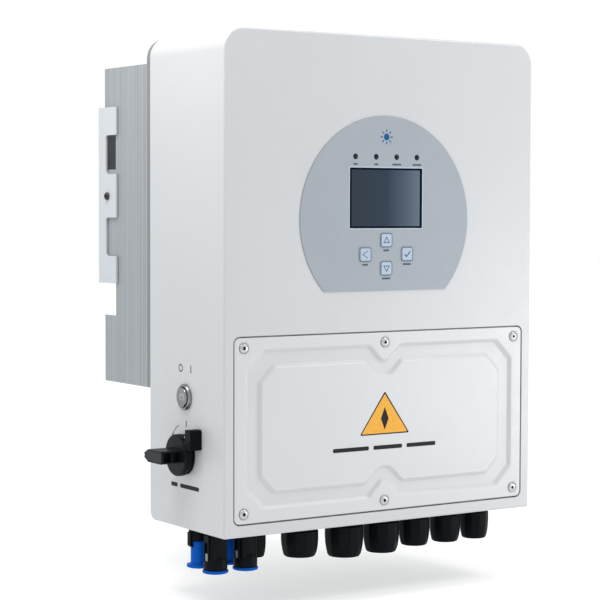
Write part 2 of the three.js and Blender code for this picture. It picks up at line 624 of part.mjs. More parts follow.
function terminalBlock() {
  const rail = box([-80, 148], [116, 124.1], [72, 84]);
  const profile = polygon([[84, 60], [116.5, 60], [116.5, 98], [98, 98], [98, 88], [84, 84]]);
  const block = sideways(profile, [-70, 140]);
  const slots = [...Array(14).keys()].map((k) => box([-63 + k * 15, -61 + k * 15], [83, 94], [59, 90]));
  return cut(join(rail, block), ...slots);
}

// ---------------------------------------------------------------- assembly

const inverter = new THREE.Group();
const caseFrame = new THREE.Group();
caseFrame.position.set(0, -BRACKET.rear, -ORIGIN_HEIGHT);
inverter.add(caseFrame);

caseFrame.add(
  piece('front_cover', frontCover(), WHITE_PAINT),
  piece('rear_chassis', rearChassis(), GREY_PAINT),
  piece('wiring_cover', wiringCover(), WHITE_PAINT),
  piece('wiring_cover_gasket', wiringGasket(), RUBBER),
  piece('display_overlay', displayOverlay(), MEMBRANE),
  piece('display_window', displayWindow(), DARK_GLASS),
  piece('lcd_module', lcdModule(), STEEL),
  piece('display_board', displayBoard(), CIRCUIT_BOARD),
  piece('power_button_bezel', buttonBezel(), STEEL),
  piece('power_button_cap', buttonCap(), STEEL),
  piece('power_button_nut', buttonNut(), STEEL),
  piece('dc_switch_base', switchBase(), BLACK_NYLON),
  piece('dc_switch_knob', switchKnob(), BLACK_NYLON),
  piece('dc_switch_body', switchBody(), BLACK_NYLON),
  piece('dc_switch_lock_lug', lockLug(), BLACK_NYLON),
  piece('heatsink', heatsink(), ALUMINIUM),
  piece('wall_bracket', wallBracket(), BRACKET_PAINT),
  piece('bracket_screw_left', bracketScrew(-1), STEEL),
  piece('bracket_screw_right', bracketScrew(1), STEEL),
  piece('main_power_board', mainPowerBoard(), CIRCUIT_BOARD),
  piece('inductor', inductor(), POTTING),
  piece('capacitor_bank', capacitorBank(), CAN_SLEEVE),
  piece('control_board', controlBoard(), CIRCUIT_BOARD),
  piece('terminal_block', terminalBlock(), TERMINAL_GREY),
);

screwPlaces().forEach((place, k) => {
  caseFrame.add(piece(`cover_screw_${k + 1}`, coverScrew(place), STEEL));
});
Object.entries(KEYS).forEach(([name, place]) => {
  caseFrame.add(piece(`key_${name}`, key(place), KEY_FILM));
});
lampPlaces().forEach((x, k) => {
  caseFrame.add(piece(`indicator_lamp_${k + 1}`, lamp(x), LENS));
});
CONNECTOR.columns.forEach((x, k) => {
  caseFrame.add(
    piece(`pv_socket_${k + 1}`, socketConnector(x, CONNECTOR.front), BLACK_NYLON),
    piece(`pv_socket_cap_${k + 1}`, plugCap(x, CONNECTOR.front), BLUE_PLASTIC),
    piece(`pv_plug_${k + 1}`, prongConnector(x, CONNECTOR.rear), BLACK_NYLON),
    piece(`pv_plug_cap_${k + 1}`, cupCap(x, CONNECTOR.rear), BLUE_PLASTIC),
  );
});
GLANDS.forEach((gland, k) => {
  caseFrame.add(
    piece(`gland_body_${k + 1}`, glandBody(gland), BLACK_NYLON),
    piece(`gland_nut_${k + 1}`, glandNut(gland), BLACK_NYLON),
  );
});

export default inverter;
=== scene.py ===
# The looks of a wall-hung string inverter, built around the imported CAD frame.
import math

import bmesh
import bpy
from mathutils import Matrix, Vector
from mathutils.geometry import tessellate_polygon

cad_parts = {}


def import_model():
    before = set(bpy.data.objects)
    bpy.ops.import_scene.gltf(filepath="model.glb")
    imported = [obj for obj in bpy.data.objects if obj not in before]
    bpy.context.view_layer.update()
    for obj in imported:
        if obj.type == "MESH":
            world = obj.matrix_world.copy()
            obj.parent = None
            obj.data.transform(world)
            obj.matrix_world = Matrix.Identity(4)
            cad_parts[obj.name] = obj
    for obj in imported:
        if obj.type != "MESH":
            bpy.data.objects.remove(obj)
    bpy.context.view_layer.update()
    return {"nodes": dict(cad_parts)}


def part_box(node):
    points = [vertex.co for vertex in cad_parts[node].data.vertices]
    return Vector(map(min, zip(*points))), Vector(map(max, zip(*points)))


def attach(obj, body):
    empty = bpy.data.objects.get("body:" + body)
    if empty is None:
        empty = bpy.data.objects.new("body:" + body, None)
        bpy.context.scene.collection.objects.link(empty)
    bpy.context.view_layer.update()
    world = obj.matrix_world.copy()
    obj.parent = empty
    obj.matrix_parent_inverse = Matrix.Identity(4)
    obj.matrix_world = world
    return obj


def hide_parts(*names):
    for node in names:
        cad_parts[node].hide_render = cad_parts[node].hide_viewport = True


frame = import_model()

# -------------------- places and sizes
# Shapes are drawn in millimetres in the case's own frame: X = 0 at its middle, Y = 0 at its front face,
# Z = 0 at its bottom edge. TO_ROW takes that frame to the row frame in metres.

MM = 0.001
CASE_LOW, CASE_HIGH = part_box("front_cover")
TO_ROW = Matrix.Translation((0, CASE_LOW.y, CASE_LOW.z)) @ Matrix.Scale(MM, 4)
TO_CASE = TO_ROW.inverted()


def place(node):
    """Lowest and highest corner of a CAD node, in millimetres in the case frame."""
    low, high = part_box(node)
    return TO_CASE @ low, TO_CASE @ high


def middle(node):
    low, high = place(node)
    return (low + high) / 2


def upright(node):
    """Lowest and highest corner of a CAD node, and the X and Y of its upright axis."""
    low, high = place(node)
    return low, high, (low.x + high.x) / 2, (low.y + high.y) / 2


HALF = (CASE_HIGH.x - CASE_LOW.x) / 2 / MM
HEIGHT = (CASE_HIGH.z - CASE_LOW.z) / MM
DEPTH = (CASE_HIGH.y - CASE_LOW.y) / MM
WALL = 2.5
TOP_RADIUS = 19
HEEL_RADIUS = 8
GAP = 0.3
SIDE = -HALF                      # the left side wall's outer plane

# -------------------- materials


def principled(name, base, roughness, metallic=0.0, **sockets):
    material = bpy.data.materials.new(name)
    material.use_nodes = True
    shader = material.node_tree.nodes["Principled BSDF"]
    sockets |= {"Base Color": (*base, 1), "Roughness": roughness, "Metallic": metallic}
    for socket, value in sockets.items():
        shader.inputs[socket.replace("_", " ")].default_value = value
    return material, material.node_tree, shader


def node(tree, kind, **values):
    made = tree.nodes.new(kind)
    for name, value in values.items():
        if hasattr(made, name):
            setattr(made, name, value)
        else:
            made.inputs[name.replace("_", " ")].default_value = value
    return made


def noise(tree, scale, detail=2.0, stretch=(1, 1, 1)):
    """Noise in object coordinates, scale in features per metre, stretched along an axis."""
    coordinates = node(tree, "ShaderNodeTexCoord")
    mapping = node(tree, "ShaderNodeMapping", Scale=stretch)
    texture = node(tree, "ShaderNodeTexNoise", Scale=scale, Detail=detail)
    tree.links.new(coordinates.outputs["Object"], mapping.inputs["Vector"])
    tree.links.new(mapping.outputs["Vector"], texture.inputs["Vector"])
    return texture.outputs["Fac"]


def spread(tree, factor, low, high):
    """Takes a noise value around its middle to the span from low to high."""
    made = node(tree, "ShaderNodeMapRange", From_Min=0.3, From_Max=0.7, To_Min=low, To_Max=high)
    tree.links.new(factor, made.inputs["Value"])
    return made.outputs["Result"]


def vary_roughness(tree, shader, factor, low, high):
    tree.links.new(spread(tree, factor, low, high), shader.inputs["Roughness"])


def vary_color(tree, shader, factor, base, amount):
    """Base colour a little darker and lighter with the factor."""
    ramp = node(tree, "ShaderNodeValToRGB")
    low, high = ramp.color_ramp.elements
    low.position, high.position = 0.3, 0.7
    low.color = (*[c * (1 - amount) for c in base], 1)
    high.color = (*[min(1, c * (1 + amount)) for c in base], 1)
    tree.links.new(factor, ramp.inputs["Fac"])
    tree.links.new(ramp.outputs["Color"], shader.inputs["Base Color"])


def bump(tree, shader, height, strength, distance):
    made = node(tree, "ShaderNodeBump", Strength=strength, Distance=distance)
    tree.links.new(height, made.inputs["Height"])
    tree.links.new(made.outputs["Normal"], shader.inputs["Normal"])


def powder_coat(name, base, roughness=0.42):
    """Baked powder coat: fine orange peel, faint cloudiness."""
    material, tree, shader = principled(name, base, roughness, Coat_Weight=0.3, Coat_Roughness=0.28)
    vary_color(tree, shader, noise(tree, 9, 3), base, 0.012)
    vary_roughness(tree, shader, noise(tree, 60, 3), roughness - 0.05, roughness + 0.05)
    bump(tree, shader, noise(tree, 1100, 1.5), 0.10, 0.00006)
    return material


def moulded(name, base, roughness, grain=1400, depth=0.00008, amount=0.12, shine=0.2):
    """Moulded plastic with a fine spark-eroded grain."""
    material, tree, shader = principled(name, base, roughness, Specular_IOR_Level=shine)
    vary_color(tree, shader, noise(tree, 45, 3), base, amount)
    vary_roughness(tree, shader, noise(tree, 120, 3), roughness - 0.06, roughness + 0.08)
    bump(tree, shader, noise(tree, grain, 2), 0.25, depth)
    return material


def streaked_metal(name, base, roughness, stretch, scale=300, amount=0.06, metallic=0.85):
    """Metal with fine drawn lines along one axis."""
    material, tree, shader = principled(name, base, roughness, metallic)
    lines = noise(tree, scale, 4, stretch)
    vary_color(tree, shader, lines, base, amount)
    vary_roughness(tree, shader, lines, roughness - 0.07, roughness + 0.09)
    bump(tree, shader, lines, 0.12, 0.00008)
    return material


def printed(name, base, shine=0.1):
    """Screen-printed ink with a slightly uneven density."""
    material, tree, shader = principled(name, base, 0.5, Specular_IOR_Level=shine)
    vary_color(tree, shader, noise(tree, 700, 2), base, 0.08)
    return material


def circuit_board(name):
    """Solder mask with copper tracks showing faintly through it."""
    base = (0.012, 0.11, 0.055)
    material, tree, shader = principled(name, base, 0.35)
    coordinates = node(tree, "ShaderNodeTexCoord")
    tracks = node(tree, "ShaderNodeTexBrick", Scale=90.0, Color1=(*base, 1), Color2=(0.015, 0.14, 0.07, 1),
                  Mortar=(0.03, 0.19, 0.09, 1))
    tree.links.new(coordinates.outputs["Object"], tracks.inputs["Vector"])
    tree.links.new(tracks.outputs["Color"], shader.inputs["Base Color"])
    bump(tree, shader, tracks.outputs["Fac"], 0.2, 0.0001)
    return material


def painted_reflection_glass(name, low_x, high_x):
    """Dark display glass with a matt coating, lighter towards its right edge: a painted reflection."""
    material, tree, shader = principled(name, (0.03, 0.04, 0.06), 0.35, Specular_IOR_Level=0.08)
    coordinates = node(tree, "ShaderNodeTexCoord")
    split = node(tree, "ShaderNodeSeparateXYZ")
    span = node(tree, "ShaderNodeMapRange", From_Min=low_x * MM, From_Max=high_x * MM)
    ramp = node(tree, "ShaderNodeValToRGB")
    # Colour stops of the painted reflection across the glass, from its left edge to its right edge.
    painted_reflection_stops = [(0.0, (0.020, 0.031, 0.043)), (0.5, (0.022, 0.034, 0.055)), (0.76, (0.055, 0.074, 0.104)),
             (1.0, (0.096, 0.126, 0.157))]
    while len(ramp.color_ramp.elements) < len(painted_reflection_stops):
        ramp.color_ramp.elements.new(0.5)
    for element, (position, color) in zip(ramp.color_ramp.elements, painted_reflection_stops):
        element.position = position
        element.color = (*color, 1)
    tree.links.new(coordinates.outputs["Object"], split.inputs["Vector"])
    tree.links.new(split.outputs["X"], span.inputs["Value"])
    tree.links.new(span.outputs["Result"], ramp.inputs["Fac"])
    tree.links.new(ramp.outputs["Color"], shader.inputs["Base Color"])
    return material


WHITE = powder_coat("white_powder_coat", (0.449, 0.459, 0.474))
# The wiring cover's coat is the case's white made lighter: the extra lightness is painted light on the cover.
COVER_WHITE_PAINTED_LIGHT = powder_coat("cover_powder_coat", (0.482, 0.492, 0.507))
BRACKET_WHITE = powder_coat("bracket_powder_coat", (0.455, 0.475, 0.50), 0.45)
GREY = powder_coat("grey_chassis_coat", (0.15, 0.16, 0.165), 0.5)
ALUMINIUM = streaked_metal("extruded_aluminium", (0.29, 0.31, 0.325), 0.5, (1, 1, 0.004), 560, 0.16, 0.35)
DARK_ZINC = streaked_metal("black_zinc_screw", (0.045, 0.047, 0.05), 0.3, (1, 1, 1), 700, 0.05, 0.9)
STEEL = streaked_metal("brushed_steel", (0.50, 0.51, 0.52), 0.28, (1, 1, 0.05), 900, 0.05, 1.0)
BUTTON_STEEL = streaked_metal("turned_steel", (0.23, 0.235, 0.24), 0.24, (1, 1, 1), 500, 0.05, 1.0)
ZINC = streaked_metal("zinc_screw", (0.46, 0.47, 0.48), 0.3, (1, 1, 1), 700, 0.05, 1.0)
# Near-black painted shade for the floor of the screw sockets.
SOCKET_PAINTED_SHADE = moulded("socket_painted_shade", (0.02, 0.02, 0.022), 0.6)
FILM = moulded("membrane_film", (0.275, 0.303, 0.335), 0.42, 2600, 0.00003, 0.015, 0.3)
KEY_FILM = moulded("key_film", (0.335, 0.405, 0.495), 0.4, 2600, 0.00003, 0.02, 0.3)
BLACK = moulded("black_nylon", (0.003, 0.0044, 0.006), 0.42, shine=0.06)
KNOB_BLACK = moulded("knob_black", (0.006, 0.0076, 0.010), 0.36, shine=0.08)
KNOB_GREY = moulded("knob_grey", (0.022, 0.0255, 0.029), 0.42, shine=0.1)
BLUE = moulded("blue_cap", (0.0005, 0.078, 0.40), 0.32, 1800, 0.00004, 0.06, 0.06)
LATCH_GREY = moulded("latch_grey", (0.22, 0.235, 0.25), 0.45)
RUBBER = moulded("seal_rubber", (0.010, 0.010, 0.011), 0.75)
LENS = moulded("lamp_lens", (0.008, 0.012, 0.018), 0.2, 600, 0.00001, 0.2, 0.12)
CAN_SLEEVE = moulded("can_sleeve", (0.012, 0.016, 0.05), 0.35)
RESIN = moulded("potting_resin", (0.014, 0.014, 0.015), 0.3)
TERMINAL = moulded("terminal_grey", (0.20, 0.21, 0.22), 0.5)
BOARD = circuit_board("solder_mask")
PRINT_BLUE = printed("print_blue", (0.004, 0.080, 0.20))
PRINT_LINE = printed("print_key_line", (0.05, 0.095, 0.14))
PRINT_PALE = printed("print_pale_line", (0.42, 0.48, 0.55))
PRINT_DARK = printed("print_dark", (0.015, 0.015, 0.017))
PRINT_AMBER = printed("print_amber", (0.66, 0.335, 0.052))
SCREEN_EDGE = printed("screen_edge", (0.0008, 0.0045, 0.016), 0.01)
# The display glass carries a painted reflection: its colour gets lighter towards the right edge.
SCREEN = painted_reflection_glass("painted_reflection_glass", -38, 38)

# -------------------- mesh helpers

_links = bpy.context.scene.collection.objects.link


def to_object(name, bm):
    bm.normal_update()
    bmesh.ops.recalc_face_normals(bm, faces=bm.faces)
    mesh = bpy.data.meshes.new(name)
    bm.to_mesh(mesh)
    bm.free()
    made = bpy.data.objects.new(name, mesh)
    _links(made)
    return made


def bake(made):
    """Replaces the object's mesh by what its modifiers make of it."""
    depsgraph = bpy.context.evaluated_depsgraph_get()
    mesh = bpy.data.meshes.new_from_object(made.evaluated_get(depsgraph))
    made.modifiers.clear()
    made.data = mesh


def combine(made, operation, *tools):
    """Cuts (DIFFERENCE) or joins (UNION) the tools, which are used up."""
    for tool in tools:
        modifier = made.modifiers.new("combine", "BOOLEAN")
        modifier.operation = operation
        modifier.solver = "EXACT"
        modifier.object = tool
    bake(made)
    for tool in tools:
        bpy.data.objects.remove(tool)


def cut(made, *tools):
    combine(made, "DIFFERENCE", *tools)


def weld(made):
    """Merges corners that a boolean leaves within some hundredths of a millimetre."""
    bm = bmesh.new()
    bm.from_mesh(made.data)
    bmesh.ops.remove_doubles(bm, verts=bm.verts[:], dist=0.02)
    bmesh.ops.dissolve_degenerate(bm, edges=bm.edges[:], dist=0.005)
    bm.to_mesh(made.data)
    bm.free()


def soften(made, width, segments=3, angle=32):
    """Rounds the edges that are sharper than angle."""
    modifier = made.modifiers.new("soften", "BEVEL")
    modifier.width = width
    modifier.segments = segments
    modifier.limit_method = "ANGLE"
    modifier.angle_limit = math.radians(angle)
    modifier.harden_normals = False
    modifier.use_clamp_overlap = True
    bake(made)


def done(made, material, body="case", stands_for=(), smooth=38):
    """Puts a piece drawn in the case frame into the row frame and on its body."""
    made.data.transform(TO_ROW)
    made.data.materials.clear()
    made.data.materials.append(material)
    made.data.shade_smooth()
    made.data.set_sharp_from_angle(angle=math.radians(smooth))
    normals = made.modifiers.new("normals", "WEIGHTED_NORMAL")
    normals.keep_sharp = True
    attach(made, body)
    if stands_for:
        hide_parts(*stands_for)


AXES = {
    "x": Matrix(((0, 0, 1, 0), (1, 0, 0, 0), (0, 1, 0, 0), (0, 0, 0, 1))),    # outline in Y and Z
    "y": Matrix(((1, 0, 0, 0), (0, 0, 1, 0), (0, 1, 0, 0), (0, 0, 0, 1))),    # outline in X and Z
    "z": Matrix.Identity(4),                                                  # outline in X and Y
}


def prism(outline, low, high, axis="y", name="tool"):
    """An outline drawn across an axis, made solid between two places along it."""
    bm = bmesh.new()
    ring = [bm.verts.new((a, b, low)) for a, b in outline]
    face = bm.faces.new(ring)
    top = bmesh.ops.extrude_face_region(bm, geom=[face])["geom"]
    moved = [v for v in top if isinstance(v, bmesh.types.BMVert)]
    bmesh.ops.translate(bm, vec=(0, 0, high - low), verts=moved)
    bm.transform(AXES[axis])
    return to_object(name, bm)


def lathe(profile, axis, centre, segments=64, name="tool", radius_at=None):
    """A profile of (radius, along) turned about an axis. A profile off the axis closes on itself.
    radius_at(angle, radius, along) may shape the ring at each angle."""
    bm = bmesh.new()
    closed = profile[0][0] > 1e-6
    rings = []
    for radius, along in profile:
        if radius < 1e-6:
            rings.append([bm.verts.new((0, 0, along))])
            continue
        ring = []
        for k in range(segments):
            angle = 2 * math.pi * k / segments
            r = radius_at(angle, radius, along) if radius_at else radius
            ring.append(bm.verts.new((r * math.cos(angle), r * math.sin(angle), along)))
        rings.append(ring)
    pairs = list(zip(rings, rings[1:]))
    if closed:
        pairs.append((rings[-1], rings[0]))
    for a, b in pairs:
        for k in range(segments):
            n = (k + 1) % segments
            corners = [a[k % len(a)], a[n % len(a)], b[n % len(b)], b[k % len(b)]]
            unique = list(dict.fromkeys(corners))
            if len(unique) > 2:
                bm.faces.new(unique)
    bm.transform(AXES[axis])
    bm.transform(Matrix.Translation(centre))
    return to_object(name, bm)


def arc(centre, radius, start, end, steps):
    return [(centre[0] + radius * math.cos(math.radians(start + (end - start) * k / steps)),
             centre[1] + radius * math.sin(math.radians(start + (end - start) * k / steps)))
            for k in range(steps + 1)]


def circle(centre, radius, steps=48):
    return arc(centre, radius, 0, 360, steps)[:-1]


def rounded(a, b, radii, steps=8):
    """A rectangle with rounded corners, from the low-low corner round through high-low."""
    radii = radii if isinstance(radii, (list, tuple)) else [radii] * 4
    corners = [(a[0], b[0], 1, 1, 180), (a[1], b[0], -1, 1, 270), (a[1], b[1], -1, -1, 0),
               (a[0], b[1], 1, -1, 90)]
    points = []
    for (x, y, dx, dy, start), radius in zip(corners, radii):
        if radius:
            points += arc((x + dx * radius, y + dy * radius), radius, start, start + 90, steps)
        else:
            points.append((x, y))
    return points


def framed(low, high, margin, radii, steps=8):
    """The rounded rectangle in X and Z between two corners, grown by a margin."""
    return rounded((low.x - margin, high.x + margin), (low.z - margin, high.z + margin), radii, steps)


def squared(p, half, radius):
    """A rounded square in X and Z about a point."""
    return rounded((p.x - half, p.x + half), (p.z - half, p.z + half), radius)


def filleted(corners, steps=8):
    """A closed polygon of (x, y, radius) corners with each corner rounded to its radius."""
    points = []
    count = len(corners)
    for k, (x, y, radius) in enumerate(corners):
        here = Vector((x, y))
        back = Vector(corners[k - 1][:2]) - here
        ahead = Vector(corners[(k + 1) % count][:2]) - here
        half = back.angle(ahead) / 2
        reach = radius / math.tan(half)
        centre = here + (back.normalized() + ahead.normalized()).normalized() * (radius / math.sin(half))
        first = here + back.normalized() * reach - centre
        last = here + ahead.normalized() * reach - centre
        turn = first.angle_signed(last)
        for s in range(steps + 1):
            offset = first.copy()
            offset.rotate(Matrix.Rotation(-turn * s / steps, 2))
            points.append(tuple(centre + offset))
    return points


def block(x, y, z, name="tool"):
    return prism(rounded(x, z, 0), y[0], y[1], "y", name)


# -------------------- case


def case_outline(inset=0.0, steps=16):
    radius = TOP_RADIUS - inset
    side = HALF - inset
    return rounded((-side, side), (0, HEIGHT - inset), [0, 0, radius, radius], steps)


KEYS = {name: middle(f"key_{name}") for name in ("up", "back", "enter", "down")}
LAMPS = [middle(f"indicator_lamp_{k}") for k in range(1, 5)]
SCREWS = [middle(f"cover_screw_{k}") for k in range(1, 7)]
BUTTON = middle("power_button_bezel")
SWITCH = middle("dc_switch_base")
COVER_LOW, COVER_HIGH = place("wiring_cover")
WINDOW_LOW, WINDOW_HIGH = place("display_window")
REVEAL = 1.2                      # gap round the wiring cover
LEDGE = 4.6                       # depth of the recess behind the wiring cover
BUTTON_BORE = 9.9
PLATE_FOOT = 117                  # lower edge of the plate behind the heatsink


def front_cover():
    made = prism(case_outline(), 0, DEPTH, name="case_front_cover")
    heel = [(DEPTH - HEEL_RADIUS, -1), (DEPTH + 1, -1), (DEPTH + 1, HEEL_RADIUS)]
    heel += arc((DEPTH - HEEL_RADIUS, HEEL_RADIUS), HEEL_RADIUS, 0, -90, 10)
    cut(made, prism(heel, -HALF - 2, HALF + 2, "x"))
    soften(made, 1.9, 5, 50)
    inner = case_outline(WALL)
    inner[0], inner[1] = (WALL - HALF, -5), (HALF - WALL, -5)
    cut(made, prism(inner, WALL, DEPTH + 3))
    rim = framed(COVER_LOW, COVER_HIGH, REVEAL, 6.2)
    back = framed(COVER_LOW, COVER_HIGH, 4, 8)
    combine(made, "UNION", prism(back, WALL - 0.5, LEDGE + WALL))
    access = rounded((-136, 136), (29, 150), 10)
    window = framed(WINDOW_LOW, WINDOW_HIGH, GAP, 0.6)
    holes = [prism(circle((p.x, p.z), 3.6, 24), -1, 4) for p in KEYS.values()]
    holes += [prism(circle((p.x, p.z), 2.7, 24), -1, 4) for p in LAMPS]
    holes += [prism(circle((p.x, p.z), 2.3, 20), 3, 9) for p in SCREWS]
    holes.append(prism(circle((BUTTON.y, BUTTON.z), BUTTON_BORE, 40), SIDE - 2, SIDE + 5, "x"))
    holes.append(prism(circle((SWITCH.y, SWITCH.z), 7, 32), SIDE - 2, SIDE + 5, "x"))
    cut(made, prism(rim, -1, LEDGE), prism(access, -1, 12), prism(window, -1, 4), *holes)
    done(made, WHITE, stands_for=["front_cover"])


def rear_chassis():
    low, high = place("rear_chassis")
    side, rear = HALF - WALL - GAP, DEPTH - GAP
    tray = [(WALL + GAP, 0), *arc((rear - HEEL_RADIUS, HEEL_RADIUS), HEEL_RADIUS, -90, 0, 8),
            (rear, HEIGHT - 28), (rear - WALL, HEIGHT - 28),
            *arc((rear - HEEL_RADIUS, HEEL_RADIUS), HEEL_RADIUS - WALL, 0, -90, 8), (WALL + GAP, WALL)]
    made = prism(tray, -side, side, "x", "chassis_tray")
    radius = TOP_RADIUS - WALL - GAP
    upper = rounded((-side, side), (HEIGHT - 36, HEIGHT - WALL - GAP), [0, 0, radius, radius])
    plate = rounded((low.x, high.x), (PLATE_FOOT, high.z), [0, 0, TOP_RADIUS - 1, TOP_RADIUS - 1], 12)
    combine(made, "UNION", prism(upper, rear - WALL, DEPTH + 1), prism(plate, DEPTH + GAP, high.y),
            block((-side, side), (rear - 0.5, DEPTH + 1), (PLATE_FOOT, HEIGHT - 26)))
    holes = [(f"gland_body_{k}", gland_sizes(k)["thread"] + GAP, 32) for k in range(1, 8)]
    holes += [(name, 6.3, 24) for name in ("pv_socket_1", "pv_socket_2", "pv_plug_1", "pv_plug_2")]
    cut(made, *[prism(circle(middle(name).xy, radius, steps), -1, 5, "z") for name, radius, steps in holes])
    soften(made, 0.5, 2, 50)
    done(made, GREY, stands_for=["rear_chassis"])


# -------------------- wiring cover

CHANNEL_DEPTH = 2.6
# The wall of the pressed channel: how far it has moved into the channel at each depth.
WALL_PROFILE = [(-1.9, 0.0), (-1.3, 0.12), (-0.5, 0.8), (0.5, 1.8), (1.3, 2.48), (1.9, CHANNEL_DEPTH)]


def channel_contour(side, bottom, top, chamfer, notch, fillet, offset):
    """The channel's edge: a chamfered rectangle with a V-shaped step round each middle screw. The edge
    moves inwards by offset, and its rounded corners keep their centres."""
    slant = math.tan(math.radians(22.5)) * offset
    side, bottom, top = side - offset, bottom + offset, top - offset
    chamfer = chamfer - slant * 0.4
    apex_top = notch[1] - math.sqrt(2) * offset
    apex_bottom = notch[0] + math.sqrt(2) * offset
    width_top = top - apex_top
    width_bottom = apex_bottom - bottom
    inner, outer = max(0.8, fillet[0] + offset), max(0.8, fillet[1] - offset)
    soft = max(1.0, 5 - offset)
    right = [(width_bottom, bottom, outer), (side - chamfer, bottom, soft), (side, bottom + chamfer, soft),
             (side, top - chamfer, soft), (side - chamfer, top, soft), (width_top, top, outer)]
    left = [(-x, z, radius) for x, z, radius in reversed(right)]
    corners = [*right, (0, apex_top, inner), *left, (0, apex_bottom, inner)]
    return filleted(corners, 8)


def outer_contour(offset):
    return channel_contour(142, 23.5, 156.1, 17, (40.3, 139.7), (7, 5), offset)


def inner_contour(offset):
    return channel_contour(128.5, 35.5, 143, 14, (55.3, 124.0), (14, 6), -offset)


def fill_between(bm, *loops):
    """Triangles between an outer loop of vertices and the loops inside it."""
    vertices = [v for loop in loops for v in loop]
    for corners in tessellate_polygon([[v.co for v in loop] for loop in loops]):
        bm.faces.new([vertices[k] for k in corners])


def skirt(bm, loops):
    for a, b in zip(loops, loops[1:]):
        for k in range(len(a)):
            n = (k + 1) % len(a)
            bm.faces.new((a[k], a[n], b[n], b[k]))


def wiring_cover():
    """A pressed sheet: a softened border, six screw dimples and a channel with sloping walls."""
    bm = bmesh.new()

    def ring(points, y):
        return [bm.verts.new((x, y, z)) for x, z in points]

    border = []
    for inset, depth in [(0, 2.0), (0, 0.7), (0.2, 0.25), (0.7, 0)]:
        border.append(ring(framed(COVER_LOW, COVER_HIGH, -inset, 5 - inset, 10), depth))
    skirt(bm, border)
    dimples = []
    for p in SCREWS:
        steps = [(5.9, 0), (5.5, 0.05), (5.0, 0.35), (4.7, 0.8), (4.3, 1.0), (2.3, 1.0), (2.3, 2.0)]
        rings = [ring(circle((p.x, p.z), radius, 36), depth) for radius, depth in steps]
        skirt(bm, rings)
        dimples.append(rings[0])
    outer = [ring(outer_contour(offset), depth) for offset, depth in WALL_PROFILE]
    inner = [ring(inner_contour(offset), depth) for offset, depth in WALL_PROFILE]
    skirt(bm, outer)
    skirt(bm, inner)
    fill_between(bm, border[-1], outer[0], *dimples)
    fill_between(bm, outer[-1], inner[-1])
    fill_between(bm, inner[0])
    made = to_object("wiring_cover_panel", bm)
    thickness = made.modifiers.new("thickness", "SOLIDIFY")
    thickness.thickness = 0.9
    thickness.offset = -1
    bake(made)
    done(made, COVER_WHITE_PAINTED_LIGHT, stands_for=["wiring_cover"], smooth=50)


def cover_screw(k, x, z):
    """A pan head with a hexagon socket, a painted shade disc in it, and a turned shank."""
    profile = [(0, -0.85), (2.1, -0.85), (3.3, -0.6), (3.9, -0.1), (4.1, 0.45), (4.05, 0.75), (2.0, 0.75),
               (2.0, 11), (1.2, 12), (0, 12)]
    made = lathe(profile, "y", (x, 0, z), 40, f"screw_{k}")
    cut(made, prism(arc((x, z), 1.75, 0, 300, 5), -2, 0.25))
    done(made, ZINC, stands_for=[f"cover_screw_{k}"])
    # A near-black disc in the socket: painted shade in the recess.
    recess = lathe([(0, 0.2), (1.5, 0.2), (1.5, 0.12), (0, 0.05)], "y", (x, 0, z), 24, f"socket_painted_shade_{k}")
    done(recess, SOCKET_PAINTED_SHADE)


def gasket():
    low, high = place("wiring_cover_gasket")
    width = 4
    made = prism(framed(low, high, 0, 4.5), low.y, high.y, name="cover_gasket")
    cut(made, prism(framed(low, high, -width, 1.5), low.y - 1, high.y + 1))
    soften(made, 0.5, 3)
    done(made, RUBBER, stands_for=["wiring_cover_gasket"])


# -------------------- display, keys and lamps

FILM_LOW, FILM_HIGH = place("display_overlay")
FILM_RADIUS = 90
FILM_CENTRE = FILM_HIGH.z - FILM_RADIUS
FILM_FRONT = FILM_LOW.y
INK = 0.05                        # thickness of a printed mark


def mark(name, outline, face, material, body="case", axis="y", holes=()):
    """A printed mark: a thin raised shape on a face that looks along the negative axis."""
    made = prism(outline, face - INK, face + 0.02, axis, name)
    if holes:
        cut(made, *[prism(hole, face - 1, face + 1, axis) for hole in holes])
    done(made, material, body)


def bar(name, a, b, face, material, body="case", axis="y"):
    """A word-length bar that stands where the object has lettering."""
    mark(name, rounded(a, b, min(b[1] - b[0], a[1] - a[0]) * 0.3, 4), face, material, body, axis)


def display_overlay():
    half = math.degrees(math.asin((FILM_CENTRE - FILM_LOW.z) / FILM_RADIUS))
    made = prism(arc((0, FILM_CENTRE), FILM_RADIUS, -half, 180 + half, 200), FILM_LOW.y, FILM_HIGH.y,
                 name="membrane_film")
    soften(made, 0.15, 2, 50)
    outlines = [framed(WINDOW_LOW, WINDOW_HIGH, GAP, 0.6, 4)]
    outlines += [squared(p, 6.45, 2.3) for p in KEYS.values()]
    outlines += [circle((p.x, p.z), 2.55, 32) for p in LAMPS]
    cut(made, *[prism(outline, -3, 2) for outline in outlines])
    done(made, FILM, stands_for=["display_overlay"])
    mark("window_border_print", framed(WINDOW_LOW, WINDOW_HIGH, 1.1, 1.2), FILM_FRONT, PRINT_PALE,
         holes=[framed(WINDOW_LOW, WINDOW_HIGH, 0.35, 0.6)])


def display_window():
    """Glass in a dark printed border."""
    low, high = WINDOW_LOW, WINDOW_HIGH
    glass = prism(framed(low, high, 0, 0.5, 4), low.y + 0.05, high.y, name="window_border")
    soften(glass, 0.2, 2, 50)
    done(glass, SCREEN_EDGE, stands_for=["display_window"])
    edge, right_edge = 1.5, 2.5
    made = prism(rounded((low.x + edge, high.x - right_edge), (low.z + edge, high.z - edge), 0.3, 3),
                 low.y, low.y + 0.3, name="window_glass")
    done(made, SCREEN)


